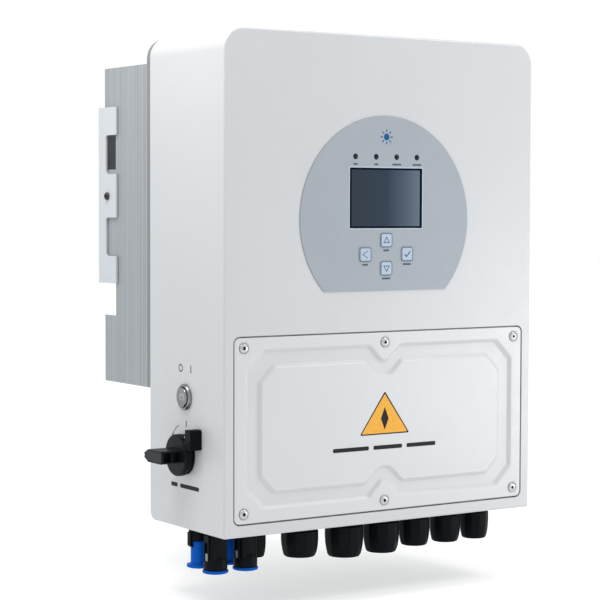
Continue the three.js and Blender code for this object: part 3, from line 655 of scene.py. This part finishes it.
def key_icons(name, p, face, body):
    """A triangle, chevron or tick drawn as a thin line on the key."""
    if name in ("up", "down"):
        way = 1 if name == "up" else -1
        tip = [(p.x - 3.6, p.z - way * 2.4), (p.x + 3.6, p.z - way * 2.4), (p.x, p.z + way * 3.4)]
        hole = [(p.x - 2.35, p.z - way * 1.7), (p.x + 2.35, p.z - way * 1.7), (p.x, p.z + way * 2.05)]
        mark(f"key_mark_{name}", tip, face, PRINT_LINE, body, holes=[hole])
        return
    if name == "back":
        path, line = [(p.x + 2.4, p.z + 3.4), (p.x - 3.0, p.z), (p.x + 2.4, p.z - 3.4)], (0.55, 0)
    else:
        path, line = [(p.x - 3.0, p.z - 0.3), (p.x - 0.8, p.z - 2.2), (p.x + 3.4, p.z + 2.6)], (0, 0.75)
    outline = [(x + line[0], z + line[1]) for x, z in path]
    outline += [(x - line[0], z - line[1]) for x, z in reversed(path)]
    mark(f"key_mark_{name}", outline, face, PRINT_LINE, body)


def keypad():
    for name, p in KEYS.items():
        low, high = place(f"key_{name}")
        body = f"{name}_key"
        cap = prism(framed(low, high, 0, 2.2), low.y, low.y + 0.8, name=f"key_cap_{name}")
        soften(cap, 0.28, 4, 50)
        stem = lathe([(0, low.y + 0.5), (3, low.y + 0.5), (3, high.y - 0.4), (2.6, high.y), (0, high.y)], "y",
                     (p.x, 0, p.z), 24)
        combine(cap, "UNION", stem)
        done(cap, KEY_FILM, body, [f"key_{name}"])
        side = (high.x - low.x) / 2
        mark(f"key_line_{name}", squared(p, side - 0.15, 2.1), low.y, PRINT_LINE, body,
             holes=[squared(p, side - 0.75, 1.6)])
        key_icons(name, p, low.y, body)
        half = 3.0 if name in ("up", "back") else 4.4
        bar(f"key_label_{name}", (p.x - half, p.x + half), (p.z - 9.7, p.z - 8.1), FILM_FRONT, PRINT_LINE)


def lamps():
    for k, p in enumerate(LAMPS, 1):
        low, high = place(f"indicator_lamp_{k}")
        profile = [(0, low.y), (1.2, low.y + 0.05), (2.0, low.y + 0.25), (2.4, low.y + 0.6), (2.4, high.y),
                   (0, high.y)]
        made = lathe(profile, "y", (p.x, 0, p.z), 32, f"lamp_{k}")
        done(made, LENS, stands_for=[f"indicator_lamp_{k}"])
        half = 2.2 if k < 3 else 4.8
        bar(f"lamp_label_{k}", (p.x - half, p.x + half), (p.z - 7.3, p.z - 5.7), FILM_FRONT, PRINT_LINE)


def sun_mark():
    """A plain sun pictogram: a disc and eight rays."""
    centre = (0, LAMPS[0].z + 17.4)
    mark("sun_mark_disc", circle(centre, 3.0, 32), FILM_FRONT, PRINT_BLUE)
    for k in range(8):
        angle = k * math.pi / 4
        ray = []
        for along, across in [(4.2, -0.55), (6.4, -0.55), (6.4, 0.55), (4.2, 0.55)]:
            ray.append((centre[0] + along * math.cos(angle) - across * math.sin(angle),
                        centre[1] + along * math.sin(angle) + across * math.cos(angle)))
        mark(f"sun_mark_ray_{k + 1}", ray, FILM_FRONT, PRINT_BLUE)


# -------------------- button and switch on the left side


def power_button():
    low, high = place("power_button_bezel")
    face, seat = low.x, SIDE - 0.05
    centre = (0, BUTTON.y, BUTTON.z)
    profile = [(8.7, face + 1.0), (8.8, face + 0.4), (9.4, face), (10.3, face + 0.1), (11.0, face + 0.8),
               (11.3, face + 1.8), (11.3, seat), (9.6, seat), (9.6, high.x), (8.7, high.x)]
    bezel = lathe(profile, "x", centre, 72, "power_button_ring")
    done(bezel, BUTTON_STEEL, stands_for=["power_button_bezel"])
    low, high = place("power_button_cap")
    face = low.x
    profile = [(0, face + 0.55), (4.5, face + 0.42), (7.2, face), (7.9, face + 0.1), (8.3, face + 0.6),
               (8.3, high.x - 0.4), (7.9, high.x), (0, high.x)]
    cap = lathe(profile, "x", centre, 72, "power_button_pad")
    done(cap, BUTTON_STEEL, "power_button", ["power_button_cap"])
    y, z = BUTTON.y, BUTTON.z
    ring = arc((y, z), 3.4, -55, 235, 40) + arc((y, z), 2.7, 235, -55, 40)
    stroke = rounded((y - 0.35, y + 0.35), (z + 0.6, z + 4.2), 0.3, 3)
    mark("button_mark_ring", ring, face + 0.5, PRINT_PALE, "power_button", "x")
    mark("button_mark_stroke", stroke, face + 0.5, PRINT_PALE, "power_button", "x")


def power_button_nut():
    low, high = place("power_button_nut")
    across = (high.z - low.z) / 2 / math.cos(math.radians(30))
    made = prism(arc((BUTTON.y, BUTTON.z), across, 0, 300, 5), low.x, high.x, "x", "button_lock_nut")
    cut(made, prism(circle((BUTTON.y, BUTTON.z), BUTTON_BORE, 40), low.x - 1, high.x + 1, "x"))
    soften(made, 0.5, 3)
    done(made, STEEL, stands_for=["power_button_nut"])


def switch_base():
    low, high = place("dc_switch_base")
    radius = (high.z - low.z) / 2
    profile = [(6.0, low.x + 0.5), (6.2, low.x), (radius - 0.9, low.x), (radius, low.x + 0.9),
               (radius, high.x), (6.0, high.x)]
    made = lathe(profile, "x", (0, SWITCH.y, SWITCH.z), 96, "switch_base_ring")
    done(made, BLACK, stands_for=["dc_switch_base"])


GRIP_HALF = 5.5


def switch_knob():
    """A disc with a handle bar across it. The bar's rear end is a V-notched pointer and its front end
    has two moulded pockets."""
    low, high = place("dc_switch_knob")
    tip = low.x
    face = tip + 20
    back = SIDE - GAP - 3.5
    y, z = SWITCH.y, SWITCH.z
    profile = [(0, face), (16.6, face), (17.5, face + 0.4), (18, face + 1.4), (18, back), (0, back)]
    made = lathe(profile, "x", (0, y, z), 120, "switch_knob_grip")
    bar_outline = filleted([(y - 12.2, z - GRIP_HALF, 1.6), (y + 11.5, z - GRIP_HALF, 3),
                            (y + 18.7, z - 1.6, 0.5), (y + 17.0, z, 0.6), (y + 18.7, z + 1.6, 0.5),
                            (y + 11.5, z + GRIP_HALF, 3), (y - 12.2, z + GRIP_HALF, 1.6)], 5)
    grip = prism(bar_outline, tip, face + 1, "x", "grip")
    pockets = []
    for low_x, high_x in [(tip + 2, tip + 9.3), (tip + 11, tip + 18.3)]:
        pockets.append(prism(rounded((y - 13, y - 6), (z - GRIP_HALF + 1.5, z + GRIP_HALF - 1.5), 0.6, 3),
                             low_x, high_x, "x"))
    shaft = prism(circle((y, z), 4.5, 32), back - 1, high.x, "x")
    combine(made, "UNION", grip, shaft)
    cut(made, *pockets)
    soften(made, 0.5, 3, 40)
    done(made, KNOB_BLACK, "switch_knob", ["dc_switch_knob"], 30)
    plate = prism(filleted([(y - 10.9, z - 4.3, 1.2), (y + 11.0, z - 4.3, 2), (y + 15.6, z - 1.6, 1),
                            (y + 15.6, z + 1.6, 1), (y + 11.0, z + 4.3, 2), (y - 10.9, z + 4.3, 1.2)], 4),
                  tip - 0.02, tip + 0.3, "x", "switch_knob_top")
    done(plate, KNOB_GREY, "switch_knob")


def lock_lug():
    """A padlock lug: a tall block, and a lower, thinner tail hollowed to follow the knob's rim."""
    low, high = place("dc_switch_lock_lug")
    seat = SIDE - GAP
    corner, tail_face, tail_top, post_y = low.y + 8.9, low.x + 2, low.z + 12.5, low.y + 2.2
    made = prism(rounded((low.y, corner), (low.z, high.z), [1, 1, 1, 2], 6), low.x, seat, "x",
                 "switch_lock_lug")
    combine(made, "UNION", block((tail_face, seat), (corner - 2, high.y), (low.z, tail_top)))
    cut(made, prism(circle((SWITCH.y, SWITCH.z), 18.6, 96), low.x - 1, seat + 1, "x"))
    soften(made, 0.5, 3, 40)
    cut(made, block((tail_face - 1, tail_face + 1.5), (corner, high.y + 1), (low.z + 7.6, low.z + 9)))
    posts = [prism(circle((post_y, low.z + up), 1.5, 20), seat - 1, high.x, "x") for up in (5, 13)]
    combine(made, "UNION", *posts)
    soften(made, 0.2, 2, 40)
    done(made, BLACK, stands_for=["dc_switch_lock_lug"])
    for k, (y, z) in enumerate(((47.0, 76.6), (48.0, 81.8)), 1):
        profile = [(0, tail_face - 0.3), (0.9, tail_face - 0.2), (1.2, tail_face + 0.3),
                   (1.2, tail_face + 1.5), (0, tail_face + 1.5)]
        pin = lathe(profile, "x", (0, y, z), 24, f"lock_lug_pin_{k}")
        done(pin, LATCH_GREY)


def side_marks():
    """The position marks of the button and the switch, and bars that stand for lettering."""
    centre = (SWITCH.y, SWITCH.z)
    head = [arc(centre, 26.45, turn, turn, 1)[0] for turn in (37, 30, 37)]
    outlines = {
        "switch_mark_on": rounded((53.6, 54.8), (135.0, 142.0), 0.4, 3),
        "switch_mark_off": circle((71.5, 138.6), 3.4, 32),
        "switch_mark_closed": rounded((61.6, 62.8), (88.2, 93.8), 0.4, 3),
        "switch_mark_open": circle((92.6, 64.5), 2.0, 32),
        "switch_mark_arc": arc(centre, 26.8, 37, 66, 16) + arc(centre, 26.1, 66, 37, 16),
        "switch_mark_arrow": [(y + shift, z) for (y, z), shift in zip(head, (-1.3, 0, 1.3))],
    }
    holes = {"switch_mark_off": [circle((71.5, 138.6), 2.4, 32)],
             "switch_mark_open": [circle((92.6, 64.5), 1.45, 32)]}
    for name, outline in outlines.items():
        mark(name, outline, SIDE, PRINT_DARK, axis="x", holes=holes.get(name, ()))
    bar("switch_label_1", (77.0, 88.0), (35.0, 38.6), SIDE, PRINT_DARK, axis="x")
    bar("switch_label_2", (40.5, 72.5), (35.0, 38.6), SIDE, PRINT_DARK, axis="x")


# -------------------- heatsink and wall bracket

FIN_COUNT = 27
FIN = 2.4
FIN_TAPER = 0.35
NOTCHES = [(177, 213), (311, 347)]


def heatsink():
    """One extrusion: a base plate, and fins that taper to rounded ends, cut through twice."""
    low, high = place("heatsink")
    root = low.y + 10
    pitch = (high.x - low.x - FIN) / (FIN_COUNT - 1)
    outline = [(low.x, low.y), (high.x, low.y)]
    for k in reversed(range(FIN_COUNT)):
        left = low.x + k * pitch
        right = left + FIN
        tip_left, tip_right = left, right
        if k < FIN_COUNT - 1:
            outline.append((right, root))
            tip_right -= FIN_TAPER
        if k > 0:
            tip_left += FIN_TAPER
        outline += arc(((tip_left + tip_right) / 2, high.y - FIN / 2 + FIN_TAPER),
                       (tip_right - tip_left) / 2, 0, 180, 6)
        if k > 0:
            outline.append((left, root))
    made = prism(outline, low.z, high.z, "z", "heatsink_extrusion")
    cut(made, *[block((low.x - 1, high.x + 1), (200.6, high.y + 1), span) for span in NOTCHES])
    done(made, ALUMINIUM, stands_for=["heatsink"], smooth=30)


def bracket_profile(side, front, rear, inset, radius):
    return [(-side + inset, front), *arc((-side + inset + radius, rear - radius), radius, 180, 90, 8),
            *arc((side - inset - radius, rear - radius), radius, 90, 0, 8), (side - inset, front)]


def wall_bracket():
    low, high = place("wall_bracket")
    side, front, rear = high.x, low.y, high.y
    sheet, plate = 2.0, 2.5
    outline = bracket_profile(side, front, rear, 0, 3)
    inner = bracket_profile(side, front, rear - plate, sheet, 2)
    made = prism(outline + inner[::-1], low.z, high.z, "z", "wall_bracket_sheet")
    tools = []
    for span in [(231.7, 267), (307, 342.4)]:
        notch = filleted([(front - 6, span[0], 0.5), (216.1, span[0], 3), (216.1, span[1], 3),
                          (front - 6, span[1], 0.5)], 6)
        tools.append(prism(notch, -side - 2, side + 2, "x"))
    mid = (low.z + high.z) / 2
    for x in (-105, 105):
        for rise in (-52, 52):
            slot = rounded((x - 4.5, x + 4.5), (mid + rise - 11, mid + rise + 11), 4.4, 8)
            tools.append(prism(slot, rear - 6, rear + 2))
    screw = middle("bracket_screw_left")
    tools.append(prism(circle((screw.y, screw.z), 2.6, 24), -side - 2, side + 2, "x"))
    cut(made, *tools)
    soften(made, 0.35, 2, 50)
    done(made, BRACKET_WHITE, stands_for=["wall_bracket"])


def bracket_screw(name):
    low, high = place(name)
    centre = (low + high) / 2
    way = -1 if centre.x < 0 else 1
    outer = low.x if way < 0 else high.x
    base = outer - way * 2.6
    inner = high.x if way < 0 else low.x
    profile = [(0, outer), (1.6, outer), (2.8, outer - way * 0.5), (3.45, outer - way * 1.4), (3.6, base),
               (2.0, base), (2.0, inner + way * 0.5), (1.6, inner), (0, inner)]
    made = lathe(profile, "x", (0, centre.y, centre.z), 40, f"{name}_head")
    deep = sorted((outer + way, outer - way * 1.5))
    for y, z in ((0.45, 1.9), (1.9, 0.45)):
        cut(made, block(deep, (centre.y - y, centre.y + y), (centre.z - z, centre.z + z)))
    done(made, DARK_ZINC, stands_for=[name])


# -------------------- cable glands


def gland_sizes(k):
    """Radii and heights of a gland, from its CAD body and nut."""
    body_low, body_high = place(f"gland_body_{k}")
    nut_low, nut_high = place(f"gland_nut_{k}")
    nut = (nut_high.y - nut_low.y) / 2
    return {"x": (nut_low.x + nut_high.x) / 2, "y": (nut_low.y + nut_high.y) / 2, "nut": nut,
            "flange": (body_high.y - body_low.y) / 2, "thread": nut - 3.2, "entry": nut - 5.6,
            "top": body_high.z, "low": body_low.z, "nut_low": nut_low.z, "nut_high": nut_high.z}


def twelve_sided(angle, radius):
    """Distance from the axis to a twelve-sided outline with corners at a radius."""
    turn = (angle + math.pi / 12) % (math.pi / 6) - math.pi / 12
    return radius * math.cos(math.pi / 12) / math.cos(turn)


def gland_body(k):
    """Entry thread, flange and outer thread, turned about the gland's axis."""
    g = gland_sizes(k)
    end = g["nut_high"] + GAP
    flange, thread, entry = g["flange"], g["thread"], g["entry"]
    profile = [(entry, g["low"]), (thread - 1.3, g["low"])]
    for step in range(3):
        z = g["low"] + 0.6 + step * 1.3
        if z + 1.3 < end:
            profile += [(thread - 1.4, z), (thread - 0.7, z + 0.65)]
    profile.append((thread - 1.4, end))
    profile += [(flange - 0.9, end), (flange - 0.25, end + 0.3), (flange, end + 1.0)]
    profile += [(flange, -1.1), (flange - 0.3, -0.35), (flange - 0.9, 0), (thread - 0.1, 0)]
    profile += [(thread - 0.1, g["top"] - 0.7), (thread - 0.8, g["top"]), (entry, g["top"])]

    def facets(angle, radius, along):
        """The flange is a soft twelve-sided shape."""
        if radius < flange - 1.2 or along > -0.2:
            return radius
        return radius * min(1, (0.35 * twelve_sided(angle, flange) + 0.65 * flange) / flange)

    made = lathe(profile, "z", (g["x"], g["y"], 0), 144, f"gland_{k}_body", facets)
    done(made, BLACK, stands_for=[f"gland_body_{k}"], smooth=35)


def gland_nut(k):
    """A dome nut: twelve soft gripping faces, a rounded nose and a clear entry for the cable."""
    g = gland_sizes(k)
    nut, low, high = g["nut"], g["nut_low"], g["nut_high"]
    bore = max(nut - 5.6, nut * 0.55)
    mouth = max(nut * 0.66, bore + 0.8)
    inside = g["thread"] - 1.0
    profile = [(mouth - 0.5, low + 0.5), (mouth + 0.1, low), (mouth + 0.9, low + 0.1)]
    for share, part in [(0.02, 0.80), (0.08, 0.855), (0.2, 0.92), (0.4, 0.972), (0.62, 1.0)]:
        profile.append((nut * part, low + share * (high - low)))
    profile += [(nut, high - 0.9), (nut - 0.7, high), (inside, high), (inside, low + 4.6),
                (bore + 0.1, low + 4.0), (bore, low + 1.6)]

    def faces(angle, radius, along):
        if radius < nut * 0.9 or along < low + 1.5:
            return radius
        share = min(1, max(0, (along - low - 1.5) / 3))
        return radius - share * (nut - (0.85 * twelve_sided(angle, nut) + 0.15 * nut))

    made = lathe(profile, "z", (g["x"], g["y"], 0), 144, f"gland_{k}_nut", faces)
    done(made, BLACK, stands_for=[f"gland_nut_{k}"], smooth=28)
    seal = [(g["entry"] * 0.80, low + 2.2), (g["entry"] * 0.86, low + 1.7), (bore - 0.15, low + 2.0),
            (bore - 0.15, low + 7), (g["entry"] * 0.80, low + 7)]
    ring = lathe(seal, "z", (g["x"], g["y"], 0), 64, f"gland_{k}_seal")
    done(ring, RUBBER)


# -------------------- panel connectors


def pv_socket(k):
    """The square-bodied connector: a moulded body with side wings, latch windows and a round mouth."""
    node_name = f"pv_socket_{k}"
    low, high, x, y = upright(node_name)
    half = 7.8
    made = prism(rounded((x - half, x + half), (y - half, y + half), 2.2, 6), low.z + 8, -0.4, "z",
                 f"{node_name}_body")
    mouth = lathe([(0, low.z), (9.7, low.z), (10.2, low.z + 0.5), (10.4, low.z + 6), (9.2, low.z + 9.5),
                   (7.4, low.z + 12), (0, low.z + 12)], "z", (x, y, 0), 64)
    wings = prism(rounded((x - 9.4, x + 9.4), (y - 4.2, y + 4.2), 0.8, 4), -25.5, -2, "z")
    collar = lathe([(0, -1.6), (8.6, -1.6), (9.0, -1.2), (9.0, 0), (0, 0)], "z", (x, y, 0), 48)
    nose = lathe([(0, -3), (6.0, -3), (6.0, 19), (5.4, high.z), (0, high.z)], "z", (x, y, 0), 48)
    combine(made, "UNION", mouth, wings, collar, nose)
    weld(made)
    windows = [block((x + s * 9.5 - 2.2, x + s * 9.5 + 2.2), (y - 2.6, y + 2.6), (-24, -8)) for s in (-1, 1)]
    cut(made, prism(circle((x, y), 8.4, 48), low.z - 1, low.z + 9, "z"))
    weld(made)
    cut(made, *windows)
    soften(made, 0.4, 3, 40)
    done(made, BLACK, stands_for=[node_name], smooth=35)
    for side, s in (("left", -1), ("right", 1)):
        latch = block((x + s * 8.2 - 0.5, x + s * 8.2 + 0.5), (y - 2.3, y + 2.3), (-24, -17.5),
                      f"{node_name}_latch_{side}")
        soften(latch, 0.3, 2)
        done(latch, LATCH_GREY)
    insert = prism(rounded((x - 3.4, x + 3.4), (y - half - 0.25, y - half + 1.2), 0.2, 2), -24.5, -5.5, "z",
                   f"{node_name}_front_rib")
    soften(insert, 0.3, 2)
    done(insert, BLACK)


def pv_plug(k):
    """The round-bodied connector with two springy prongs."""
    node_name = f"pv_plug_{k}"
    low, high, x, y = upright(node_name)
    profile = [(0, low.z), (3.4, low.z), (4.0, low.z + 0.6), (4.0, -10.4), (8.6, -10.0), (9.2, -9.4),
               (9.2, -0.7), (8.8, 0), (6.0, 0), (6.0, high.z - 0.7), (5.4, high.z), (0, high.z)]
    made = lathe(profile, "z", (x, y, 0), 64, f"{node_name}_body")
    prongs = []
    for s in (-1, 1):
        prong = [(8.2, -16), (10.2, -14.5), (10.5, -13), (10.5, -3), (8.0, -2)]
        prongs.append(prism([(x + s * out, z) for out, z in prong], y - 2.6, y + 2.6))
    combine(made, "UNION", *prongs)
    soften(made, 0.3, 2, 45)
    done(made, BLACK, stands_for=[node_name], smooth=35)


def socket_cap(k):
    """Blue transport plug with a round head and a stem up the connector's mouth."""
    node_name = f"pv_socket_cap_{k}"
    low, high, x, y = upright(node_name)
    head = low.z + 2.7
    radius = (high.x - low.x) / 2
    profile = [(0, low.z + 0.5), (5.0, low.z + 0.35), (radius - 1.4, low.z), (radius - 0.4, low.z + 0.35),
               (radius, low.z + 1.0), (radius, head - 0.6), (radius - 0.5, head), (7.6, head),
               (7.3, head + 1), (7.0, high.z - 1), (6.2, high.z), (0, high.z)]
    made = lathe(profile, "z", (x, y, 0), 72, f"{node_name}_head")
    done(made, BLUE, f"socket_cap_{k}", [node_name], 40)


def plug_cap(k):
    """Blue transport cup that goes over the connector's nose, with a flange at its lower end."""
    node_name = f"pv_plug_cap_{k}"
    low, high, x, y = upright(node_name)
    radius = (high.y - low.y) / 2
    profile = [(0, low.z + 0.4), (6.0, low.z + 0.3), (radius - 1.2, low.z), (radius - 0.3, low.z + 0.4),
               (radius, low.z + 1.1), (radius, low.z + 2.2), (radius - 0.5, low.z + 2.9), (8.3, low.z + 3.3),
               (7.6, low.z + 4.4), (7.6, high.z - 0.5), (7.2, high.z), (5.2, high.z), (4.8, high.z - 0.5),
               (4.8, low.z + 8), (0, low.z + 8)]
    made = lathe(profile, "z", (x, y, 0), 72, f"{node_name}_cup")
    done(made, BLUE, f"plug_cap_{k}", [node_name], 40)


# -------------------- prints on the wiring cover


def cover_prints():
    """An amber triangle with a plain lozenge, and three bars that stand for a line of words."""
    apex, foot, half = 115.9, 78.0, 26.8
    triangle = filleted([(-half, foot, 0.9), (half, foot, 0.9), (0, apex, 0.9)], 4)
    inside = half - 2.0
    inner = filleted([(-inside, foot + 1.1, 0.5), (inside, foot + 1.1, 0.5), (0, apex - 2.3, 0.5)], 4)
    face = 0                      # the plane of the cover's front
    mark("warning_border", triangle, face, PRINT_DARK, holes=[inner])
    mark("warning_field", inner, face, PRINT_AMBER)
    rise = 90.5
    lozenge = [(0, rise - 8.5), (4.2, rise + 1.5), (0, rise + 11.5), (-4.2, rise + 1.5)]
    mark("warning_lozenge", lozenge, face - INK, PRINT_DARK)
    for k, span in enumerate([(-55, -17), (-12, 19), (24, 56)], 1):
        bar(f"cover_label_{k}", span, (64.9, 68.5), face, PRINT_DARK)


# -------------------- build everything

front_cover()
rear_chassis()
wiring_cover()
for k, p in enumerate(SCREWS, 1):
    cover_screw(k, p.x, p.z)
gasket()
display_overlay()
display_window()
keypad()
lamps()
sun_mark()
power_button()
power_button_nut()
switch_base()
switch_knob()
lock_lug()
side_marks()
heatsink()
wall_bracket()
bracket_screw("bracket_screw_left")
bracket_screw("bracket_screw_right")
for k in range(1, 8):
    gland_body(k)
    gland_nut(k)
for k in (1, 2):
    pv_socket(k)
    pv_plug(k)
    socket_cap(k)
    plug_cap(k)
cover_prints()

# The boards and other inner parts keep their CAD shape and take a finish here.
INNER = {"lcd_module": (STEEL, "steel"), "display_board": (BOARD, "circuit_board"),
         "dc_switch_body": (BLACK, "black_nylon"), "main_power_board": (BOARD, "circuit_board"),
         "inductor": (RESIN, "potting"), "capacitor_bank": (CAN_SLEEVE, "can_sleeve"),
         "control_board": (BOARD, "circuit_board"), "terminal_block": (TERMINAL, "terminal_grey")}
for name, (material, slot) in INNER.items():
    kept = frame["nodes"][name]
    if not kept.data.materials:
        kept.data.materials.append(material)
    for index in range(len(kept.data.materials)):
        kept.data.materials[index] = material

# -------------------- floor, light and camera

FLOOR_HEIGHT = -0.3535            # just below the transport caps when they are pulled out
FLOOR_HALF = 6.0


def floor():
    bm = bmesh.new()
    signs = ((-1, -1), (1, -1), (1, 1), (-1, 1))
    bm.faces.new([bm.verts.new((x * FLOOR_HALF, y * FLOOR_HALF, FLOOR_HEIGHT)) for x, y in signs])
    bmesh.ops.subdivide_edges(bm, edges=bm.edges[:], cuts=3, use_grid_fill=True)
    made = to_object("floor", bm)
    base = (0.66, 0.66, 0.66)
    material, tree, shader = principled("white_floor", base, 0.75, Emission_Color=(1, 1, 1, 1),
                                        Emission_Strength=0.38)
    vary_color(tree, shader, noise(tree, 3, 2), base, 0.002)
    made.data.materials.append(material)


def area_light(name, at, aim, size, power, color=(1, 1, 1)):
    data = bpy.data.lights.new(name, "AREA")
    data.shape = "RECTANGLE"
    data.size, data.size_y = size
    data.energy = power
    data.color = color
    made = bpy.data.objects.new(name, data)
    made.location = at
    made.rotation_mode = "QUATERNION"
    made.rotation_quaternion = (Vector(aim) - Vector(at)).to_track_quat("-Z", "Y")
    _links(made)


def world():
    """Even white light, a little cooler from the left."""
    made = bpy.data.worlds.new("studio")
    made.use_nodes = True
    tree = made.node_tree
    coordinates = node(tree, "ShaderNodeTexCoord")
    split = node(tree, "ShaderNodeSeparateXYZ")
    shifted = node(tree, "ShaderNodeMath", operation="ADD")
    shifted.inputs[1].default_value = 1.0
    ramp = node(tree, "ShaderNodeValToRGB")
    cool, white = ramp.color_ramp.elements
    cool.position, cool.color = 0.0, (0.88, 1.0, 1.03, 1)
    white.position, white.color = 0.7, (1, 1, 1, 1)
    background = tree.nodes["Background"]
    for start, end in ((coordinates.outputs["Generated"], split.inputs["Vector"]),
                       (split.outputs["X"], shifted.inputs[0]),
                       (shifted.outputs["Value"], ramp.inputs["Fac"]),
                       (ramp.outputs["Color"], background.inputs["Color"])):
        tree.links.new(start, end)
    bpy.context.scene.world = made


def camera():
    yaw, pitch, roll = (math.radians(a) for a in (33.406, 2.798, 0.163))
    forward = Vector((math.sin(yaw) * math.cos(pitch), math.cos(yaw) * math.cos(pitch), -math.sin(pitch)))
    right = Vector((math.cos(yaw), -math.sin(yaw), 0))
    up = right.cross(forward)
    across = right * math.cos(roll) + up * math.sin(roll)
    above = up * math.cos(roll) - right * math.sin(roll)
    data = bpy.data.cameras.new("view")
    data.lens, data.sensor_width = 113.23, 36
    made = bpy.data.objects.new("view", data)
    made.matrix_world = Matrix.Translation((-0.97085, -1.56834, -0.01055)) @ Matrix(
        (across, above, -forward)).transposed().to_4x4()
    _links(made)
    bpy.context.scene.camera = made


floor()
world()
area_light("key", (-0.42, -0.22, 0.50), (-0.165, -0.165, 0.05), (0.3, 0.3), 3.5, (1, 0.94, 0.91))
area_light("low_fill", (0.72, -0.78, -0.24), (0.10, -0.23, -0.18), (0.4, 0.4), 2.5)
area_light("high_fill", (0.52, -0.62, 0.55), (0.05, -0.23, -0.16), (0.25, 0.25), 2.2)
bpy.context.scene.view_settings.view_transform = "Standard"
camera()
